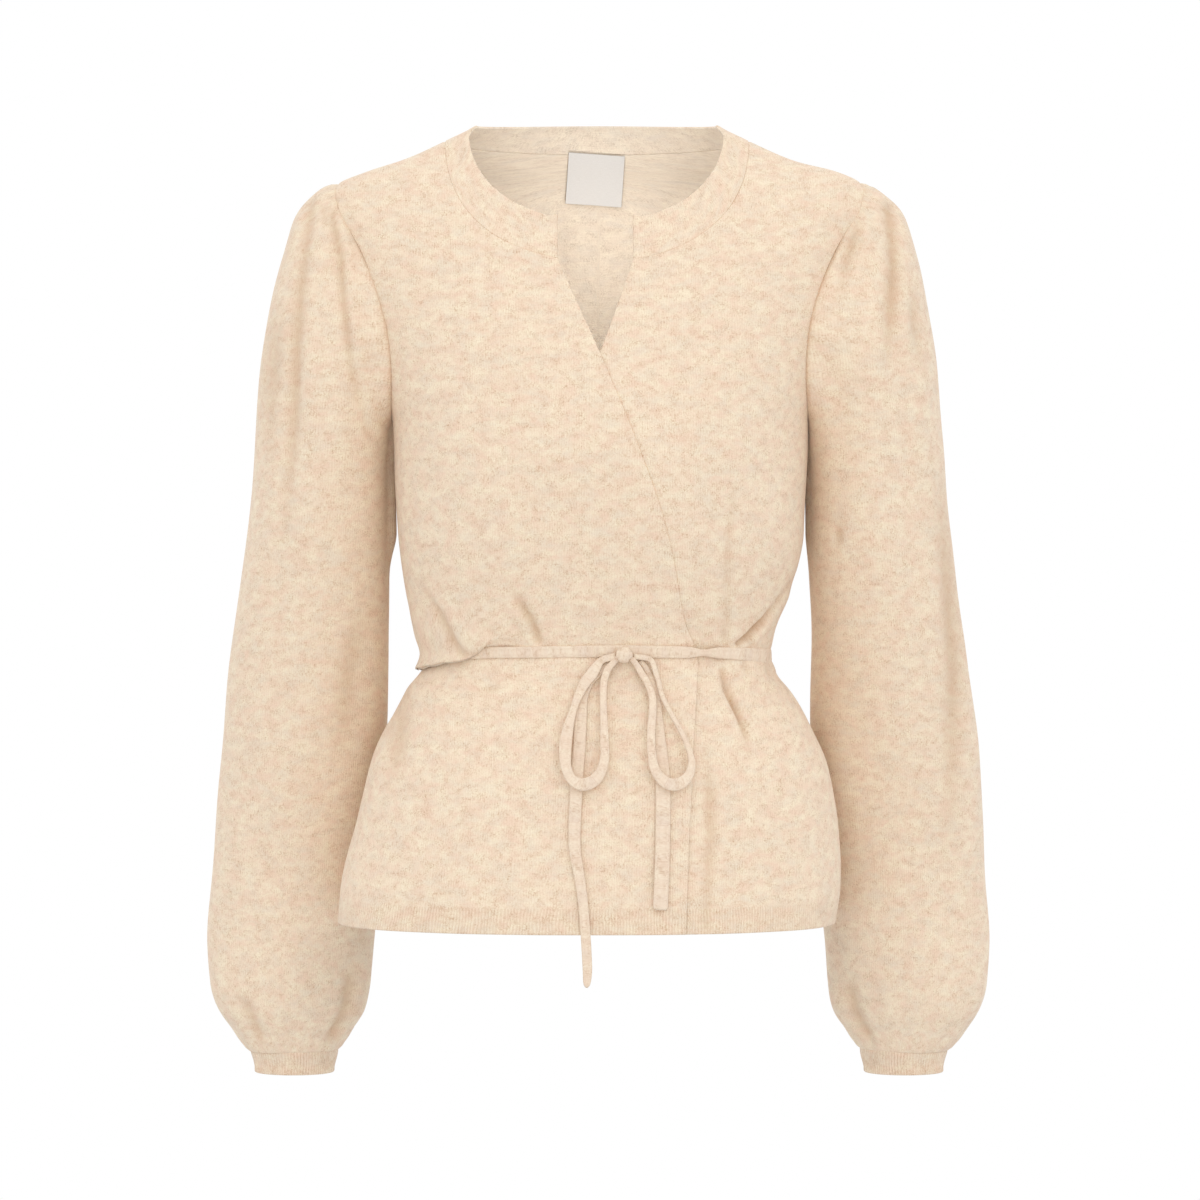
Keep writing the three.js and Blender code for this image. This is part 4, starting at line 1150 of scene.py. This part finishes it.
def make_front(side, name, node):
    z = BODY_ROWS
    start = armhole_angle(z, side, 1)
    x = np.where(z > NECK_CORNER, neck_seam_x(z, side), wrap_x(z, side))
    end = angle_at_x(x, z)
    angle, from_side, from_free = row_angles(start, end, SIDE_STOPS, WRAP_STOPS, FRONT_COLUMNS)
    height = np.broadcast_to(z[:, None], angle.shape)
    below = height <= NECK_CORNER
    to_hem = np.broadcast_to(TO_HEM[:, None], angle.shape)
    lift = lap_lift(torso(angle, height)[..., 0], height) if side < 0 else np.zeros(angle.shape)
    if side < 0:
        beside = 1 - smooth(from_free, *EDGE_SETTLES_OVER)
        lift = lift - EDGE_SETTLES * beside * smooth(-height, *EDGE_SETTLES_BELOW)
    else:
        past = torso(angle, height)[..., 0] - wrap_x(height, -1)
        beside = smooth(past, *FLUSH_RISES) * (1 - smooth(past, *FLUSH_FADES))
        above = smooth(-height, *FLUSH_BELOW) * smooth(height - TIE_FRONT, *FLUSH_ABOVE_TIE)
        lift = lift + FLUSH * beside * above
    lift = lift + seam_dip(from_side, SEAM_DIP * side_seam_depth(height))
    strip = SELF_EDGE_RISE * (1 - smooth(from_free, SELF_EDGE - 0.8, SELF_EDGE + 0.4))
    groove = SELF_EDGE_GROOVE * np.exp(-(((from_free - SELF_EDGE) / 0.9) ** 2))
    lift = lift + np.where(below, strip - groove, seam_dip(from_free, BAND_DIP))
    inner = np.where(below, free_edge(from_free), seam_edge(from_free))
    thick = WALL * seam_edge(from_side) * inner * free_edge(to_hem)
    dress_body(name, node, angle, height, around_from_front(angle), lift, thick)


def make_back():
    z = BODY_ROWS
    start = armhole_angle(z, 1, -1)
    end = armhole_angle(z, -1, -1) + math.tau
    angle, from_left, from_right = row_angles(start, end, SIDE_STOPS, SIDE_STOPS, BACK_COLUMNS)
    fade = np.clip(1 + (z - NECK_SEAM_TOP) / BACK_NECK_DIP_OVER, 0, 1)[:, None]
    height = z[:, None] - BACK_NECK_DIP * np.cos(angle) ** 2 * fade
    to_hem = np.broadcast_to(TO_HEM[:, None], angle.shape)
    to_neck = np.broadcast_to(DOWN[:, None], angle.shape)
    depth = SEAM_DIP * side_seam_depth(height)
    lift = seam_dip(from_left, depth) + seam_dip(from_right, depth) + seam_dip(to_neck, BAND_DIP)
    thick = WALL * seam_edge(from_left) * seam_edge(from_right)
    thick = thick * seam_edge(to_neck) * free_edge(to_hem)
    far = around_from_front(np.where(angle > math.pi, math.tau - angle, angle))
    u = np.where(angle > math.pi, 2 * far.max() - far, far)
    dress_body("Back", "back", angle, height, u, lift, thick)


make_back()
make_front(1, "Left_front", "left_front")
make_front(-1, "Right_front", "right_front")

# ------------------------------------------------------------------ neckband


def band_edges():
    """The band's seam and free edge, from the right front's corner round the back to the left's."""
    def turn_at(share):
        return np.arccos(np.clip(share, 0, 1) ** (NECK_CURVE / 2))

    def front(side):
        corner = abs(float(wrap_x(NECK_CORNER, side)))
        first, last = turn_at(corner / NECK_SEAM[side]), turn_at(1.0)
        turn = np.linspace(first, last, 90)
        x = NECK_SEAM[side] * np.cos(turn) ** (2 / NECK_CURVE)
        z = NECK_SEAM_TOP - NECK_SEAM_DEEP * np.sin(turn) ** (2 / NECK_CURVE)
        seam = angle_at_x(side * x, z)
        free_turn = turn * turn_at(corner / NECK_FREE[side]) / first
        free_z = NECK_FREE_TOP - NECK_FREE_DEEP * np.sin(free_turn) ** (2 / NECK_CURVE)
        drawn = NECK_TURN_IN_BY * np.maximum(0, 1 + free_z / NECK_TURN_IN_OVER) ** 2
        free_x = NECK_FREE[side] * np.cos(free_turn) ** (2 / NECK_CURVE) - drawn
        return seam, z, angle_at_x(side * free_x, free_z), free_z

    right = [np.array(v) for v in front(-1)]
    right[0] = right[0] + math.tau
    right[2] = right[2] + math.tau
    left = [v[::-1] for v in front(1)]
    angle = np.linspace(1.5 * math.pi, 0.5 * math.pi, 140)[1:-1]
    middle = np.cos(angle) ** 2
    back = [angle, NECK_SEAM_TOP - BACK_NECK_DIP * middle, angle, NECK_FREE_TOP + BACK_NECK_RISE * middle]
    return [np.concatenate(v) for v in zip(right, back, left)]


def make_band():
    seam_angle, seam_z, free_angle, free_z = band_edges()
    share = np.array(
        [0, 0.012, 0.03, 0.07, 0.14, 0.24, 0.36, 0.5, 0.64, 0.76, 0.86, 0.93, 0.965, 0.985, 1.0]
    )
    angle = mix(seam_angle[None, :], free_angle[None, :], share[:, None])
    z = mix(seam_z[None, :], free_z[None, :], share[:, None])
    base = torso(angle, z)
    out = torso_normal(angle, z)
    along = path_length(base[len(share) // 2])
    far = path_length(base.transpose(1, 0, 2)).T
    to_free = far[-1:] - far
    ends = np.minimum(along, along[-1] - along)[None, :]
    roll = BAND_ROLL["high"] * np.exp(-(((to_free - BAND_ROLL["at"]) / BAND_ROLL["wide"]) ** 2))
    lift = seam_dip(far, BAND_DIP) + roll + BAND_STAND
    thick = WALL * seam_edge(far) * free_edge(to_free)
    thick = thick * rounded(ends, FREE_ROUND, 0.2)
    uv = side_by_side(along[None, :], far)
    points = base + out * lift[..., None]
    points[..., 2] += BAND_FLARE * share[:, None] ** 2 * np.exp(-((ends / 5.0) ** 2))
    piece = shell("Neckband", points, out, thick, uv, [knit_out, knit_in])
    finish_cloth(piece, "neckband")


make_band()

# ------------------------------------------------------------------ sleeves and cuffs


def armhole_place(turn, side):
    """The body's angle and height at a turn round the armhole: 0 underneath, 90 degrees in front."""
    z = ARMHOLE_MIDDLE - ARMHOLE_HALF * np.cos(turn)
    front = np.sin(turn) >= 0
    return np.where(front, armhole_angle(z, side, 1), armhole_angle(z, side, -1)), z


def armhole_rise(turn, side):
    """How far the body's own cloth stands off its plain form at the armhole's edge."""
    angle, z = armhole_place(turn, side)
    return body_rise(angle, z, torso(angle, z))[0]


def gather_depth(turn, row):
    """How far the gathers of the sleeve's head draw the cloth in."""
    degrees = np.degrees(turn) % 360
    total = np.zeros(np.broadcast(turn, row).shape)
    start = smooth(row, -0.5, 1)
    for angle, depth, width, reach in zip(*GATHERS.values()):
        end = 1 - smooth(row, reach * 0.4, reach * 1.6)
        total += depth * start * end * np.exp(-(((degrees - angle) / width) ** 2))
    return total


def sleeve_swell(turn, row, side):
    """How far the sleeve swells toward the body."""
    first, full, ebb, gone = SLEEVE_SWELL_ROWS
    off = (np.degrees(turn) - SLEEVE_SWELL["angle"] + 180) % 360 - 180
    wide = np.where(off > 0, SLEEVE_SWELL["before"], SLEEVE_SWELL["behind"])
    rows = smooth(row, first, full) * (1 - smooth(row, ebb, gone))
    return SLEEVE_SWELL["depth"][side] * rows * np.exp(-((off / wide) ** 2))


def sleeve_surface(side):
    def oval(turn, row):
        def at(name):
            return column(SLEEVE, name, row, "row")

        swing = (1 + np.cos(turn)) / 2
        x = mix(at("outX"), at("inX"), swing)
        z = mix(at("outZ"), at("inZ"), swing)
        return side_by_side(side * x, at("y") - at("deep") * np.sin(turn), z)

    def surface(turn, row):
        turn, row = np.broadcast_arrays(np.asarray(turn, float), np.clip(row, 0, SLEEVE_END))
        place = armhole_place(turn, side)
        edge, edge_out = torso(*place), torso_normal(*place)
        full = mix(HEAD_STAND_LOW, HEAD_STAND, smooth(edge[..., 2], -150, -60))
        stand = mix(-SEAM_TUCK, full, smooth(row, 0, 0.4))
        lift = HEAD_LIFT * smooth(row, 0, 0.4) * np.exp(-((row / 0.9) ** 2))
        stand = stand + lift * smooth(edge[..., 2], -75, -46)
        own = edge + edge_out * stand[..., None] - oval(turn, np.zeros(turn.shape))
        middle = oval(turn, row)
        point = middle + own * (1 - smooth(row, 0, ARMHOLE_REACH))[..., None]
        point[..., 0] -= side * sleeve_swell(turn, row, side)
        centre = (oval(np.zeros(turn.shape), row) + oval(np.full(turn.shape, math.pi), row)) / 2
        return point - unit(middle - centre) * gather_depth(turn, row)[..., None]

    return surface


def puckers(rows, turn, gap, reach):
    """How far small puckers along a seam move the cloth out, at this distance from the seam."""
    degrees = np.degrees(turn) % 360
    total = np.zeros(np.broadcast(turn, gap).shape)
    for angle, depth, width in zip(*rows.values()):
        off = (degrees - angle + 180) % 360 - 180
        total += depth * np.exp(-((off / width) ** 2))
    rising = smooth(gap, 0.3, 4.0)
    return (0.6 - total) * rising * np.exp(-((gap / reach) ** 2))


def round_the_arm(points, turn, side):
    """How far round the arm each point lies, measured level from the sleeve's outer side."""
    x, y, z = np.moveaxis(points, -1, 0)
    middle_x = column(ARM_MIDDLE, "x", z)
    middle_y = column(ARM_MIDDLE, "y", z)
    plain = turn - math.pi
    seen = -np.arctan2(middle_y - y, side * x - middle_x)
    return side * ARM_RADIUS * (plain + (seen - plain + math.pi) % math.tau - math.pi)


def make_sleeve(side, name, node, front_folds, back_folds):
    surface = sleeve_surface(side)
    turn = (np.arange(SLEEVE_COLUMNS) / SLEEVE_COLUMNS * math.tau)[None, :]
    fine = np.linspace(0, SLEEVE_END, 700)
    long = path_length(surface(np.full(700, math.pi * 0.62), fine))
    first = [0, 0.3, 0.8, 1.6, 2.8, 4.2]
    last = [0, 0.3, 0.8, 1.6, 2.8]
    places = places_along(long[-1:], first, last, int(long[-1] / STEP))[0]
    row = np.interp(places, long, fine)[:, None]
    base = surface(turn, row)
    out = normal_of(surface, turn, row, 0.02, 0.05) * -side
    x, z = base[..., 0], base[..., 2]
    front = smooth(np.sin(turn), -0.1, 0.25)
    # each crease also gives the painted shade at its bottom
    front_rise, front_painted_shade = creases(x, z, front_folds)
    back_rise, back_painted_shade = creases(x, z, back_folds)
    to_cuff = (places[-1] - places)[:, None]
    off_seam = smooth(places, 0, 9)[:, None] * smooth(to_cuff, 1, 16)
    rise = mix(back_rise, front_rise, front) * off_seam
    painted_shade = mix(back_painted_shade, front_painted_shade, front) * off_seam
    rise = rise + swell(x + 40 * side, z) * smooth(places, 0, 40)[:, None]
    rise = rise + armhole_rise(turn, side) * (1 - smooth(places, 0, 14))[:, None]
    rise = rise + puckers(PUCKERS, turn, places[:, None], PUCKER_REACH)
    rise = rise + puckers(CUFF_PUCKERS, turn, to_cuff, CUFF_PUCKER_REACH)
    hang = mix(HANG_IN[0], HANG_IN[1], smooth(np.cos(turn), -0.2, 0.8))
    rise = rise - hang * np.exp(-(((to_cuff - 15) / 13) ** 2)) * smooth(to_cuff, 0, 6)
    from_inside = np.minimum(turn, math.tau - turn) * SLEEVE_SEAM["round"]
    rise = rise + seam_dip(from_inside) * SLEEVE_SEAM["share"]
    points = base + out * rise[..., None]
    thick = WALL * seam_edge(places)[:, None] * np.ones((1, SLEEVE_COLUMNS))
    around = round_the_arm(base, turn, side)
    # courses run level round the arm, spaced about as they are along its outer side
    outer = surface(np.full(len(fine), math.pi), fine)
    level = np.maximum.accumulate(outer[::-1, 2])
    step = np.minimum(np.diff(path_length(outer)[::-1]) * -1, COURSE_STRETCH * np.diff(level) + 0.01)
    course = np.interp(z, level, np.concatenate([[0], np.cumsum(step)]))
    uv = side_by_side(around, course)
    # painted shade along the armhole's seam: a thin dark line from the chest down, hardly showing above
    low = smooth(-z, 60, 112) * smooth(np.sin(turn), -0.3, 0.1)
    painted_shade = np.maximum(painted_shade, 0.75 * low * (1 - smooth(places, 0.8, 3.6))[:, None])
    piece = shell(name, points, out, thick, uv, [knit_out, knit_in], around=True, painted_shade=painted_shade)
    finish_cloth(piece, node)


def make_cuff(side, name, node):
    columns = 7 * CUFF_RIBS
    turn = (np.arange(columns) / columns * math.tau)[None, :]
    top, bottom = CUFF["z"].max() + 1.6, CUFF["z"].min()
    places = places_along(np.array([top - bottom]), [0, 0.4, 1.0], [0, 0.15, 0.5, 1.0, 2.0], 7)[0]
    z = (top - places)[:, None]
    swing = np.cos(turn)
    out_x, in_x = column(CUFF, "outX", z), column(CUFF, "inX", z)
    deep = column(CUFF, "deep", z)
    x = side * mix(out_x, in_x, (1 + swing) / 2)
    y = CUFF_Y - deep * np.sin(turn)
    base = side_by_side(x, y, z)
    out = unit(side_by_side(-side * swing * deep, -np.sin(turn) * (out_x - in_x) / 2, 0 * z))
    ribs = CUFF_RIB_HIGH * np.cos(turn * CUFF_RIBS) * smooth(places, 0.5, 4)[:, None]
    roll = CUFF_ROLL * np.exp(-(((places[-1] - places - 1.5) / 1.6) ** 2))[:, None]
    drawn = CUFF_DRAW * smooth(places, 2, 16)[:, None]
    points = base + out * (ribs + roll - drawn)[..., None]
    thick = WALL * free_edge(places[-1] - places)[:, None] * np.ones((1, columns))
    uv = side_by_side(turn * CUFF_RADIUS, -places[:, None])
    piece = shell(name, points, out, thick, uv, [knit_rib, knit_in], around=True)
    finish_cloth(piece, node)


make_sleeve(-1, "Right_sleeve", "right_sleeve", RIGHT_SLEEVE_FOLDS, RIGHT_SLEEVE_BACK_FOLDS)
make_sleeve(1, "Left_sleeve", "left_sleeve", LEFT_SLEEVE_FOLDS, LEFT_SLEEVE_BACK_FOLDS)
make_cuff(-1, "Right_cuff", "right_cuff")
make_cuff(1, "Left_cuff", "left_cuff")

# ------------------------------------------------------------------ neck label


def make_label():
    """A plain woven square, sewn along its top and hanging a little free below."""
    high, wide = LABEL["high"], LABEL["wide"]
    down = np.concatenate([[0, 0.4, 1.0], np.linspace(2, high - 1, 22), [high - 0.3, high]])
    inner = np.linspace(2, wide - 2, 22)
    beside = np.concatenate([[0, 0.3, 1.0], inner, [wide - 1, wide - 0.3, wide]])
    tilt = math.radians(LABEL["tilt"])
    d, b = down[:, None], beside[None, :] - wide / 2
    x = LABEL["x"] + b - d * math.sin(tilt)
    z = LABEL["top"] - d - b * math.sin(tilt)
    angle = angle_at_x(x, z, -1)
    curl = 0.5 * (b / wide * 2) ** 2 * (d / high)
    lift = -(WALL / 2 + LABEL["stand"] + 0.4 + d / high + curl)
    out = torso_normal(angle, z)
    points = torso(angle, z) + out * lift[..., None]
    uv = side_by_side(beside[None, :], down[:, None])
    piece = shell("Neck_label", points, out, LABEL["thick"], uv, [label_cloth, label_cloth])
    finish_cloth(piece, "neck_label")


make_label()

# ------------------------------------------------------------------ stage and light

# brightness by how far up one looks, from 0 straight down to 1 straight up
SKY = [(0.0, 0.7), (0.36, 0.93), (0.42, 1.0), (0.58, 1.0), (0.75, 1.1)]


def make_world():
    """White all round, a little brighter overhead and dimmer underfoot, as in a studio tent."""
    world = bpy.data.worlds.new("world")
    world.use_nodes = True
    nodes, links = world.node_tree.nodes, world.node_tree.links
    way = nodes.new("ShaderNodeSeparateXYZ")
    links.new(nodes.new("ShaderNodeTexCoord").outputs["Generated"], way.inputs[0])
    half = nodes.new("ShaderNodeMath")
    half.operation = "MULTIPLY_ADD"
    half.inputs[1].default_value = 0.5
    half.inputs[2].default_value = 0.5
    links.new(way.outputs[2], half.inputs[0])
    ramp = nodes.new("ShaderNodeValToRGB")
    ramp.color_ramp.elements.remove(ramp.color_ramp.elements[1])
    for share, value in SKY:
        stop = ramp.color_ramp.elements.new(share)
        stop.color = (value, value, value, 1)
    links.new(half.outputs[0], ramp.inputs["Fac"])
    links.new(ramp.outputs["Color"], nodes["Background"].inputs["Color"])
    bpy.context.scene.world = world


def softbox(name, place, aim, size, power):
    """A round lamp at a place, turned to its aim, in metres and watts."""
    data = bpy.data.lights.new(name, "AREA")
    data.shape = "DISK"
    data.size = size
    data.energy = power
    light = bpy.data.objects.new(name, data)
    bpy.context.scene.collection.objects.link(light)
    light.location = place
    way = np.array(place) - np.array(aim)
    yaw = math.atan2(way[0], -way[1])
    lean = math.atan2(math.hypot(way[0], way[1]), way[2])
    light.rotation_euler = (lean, 0, yaw)


make_world()
softbox("key", (1.4, -2.8, 1.2), (0, 0, -0.3), 0.9, 7)
softbox("front", (-0.5, -3.3, 0.0), (0, 0, -0.35), 1.2, 9.8)
softbox("inside", (0.0, -0.05, -0.15), (0, 0.05, -0.04), 0.06, 0.155)
bpy.context.scene.view_settings.view_transform = "Standard"
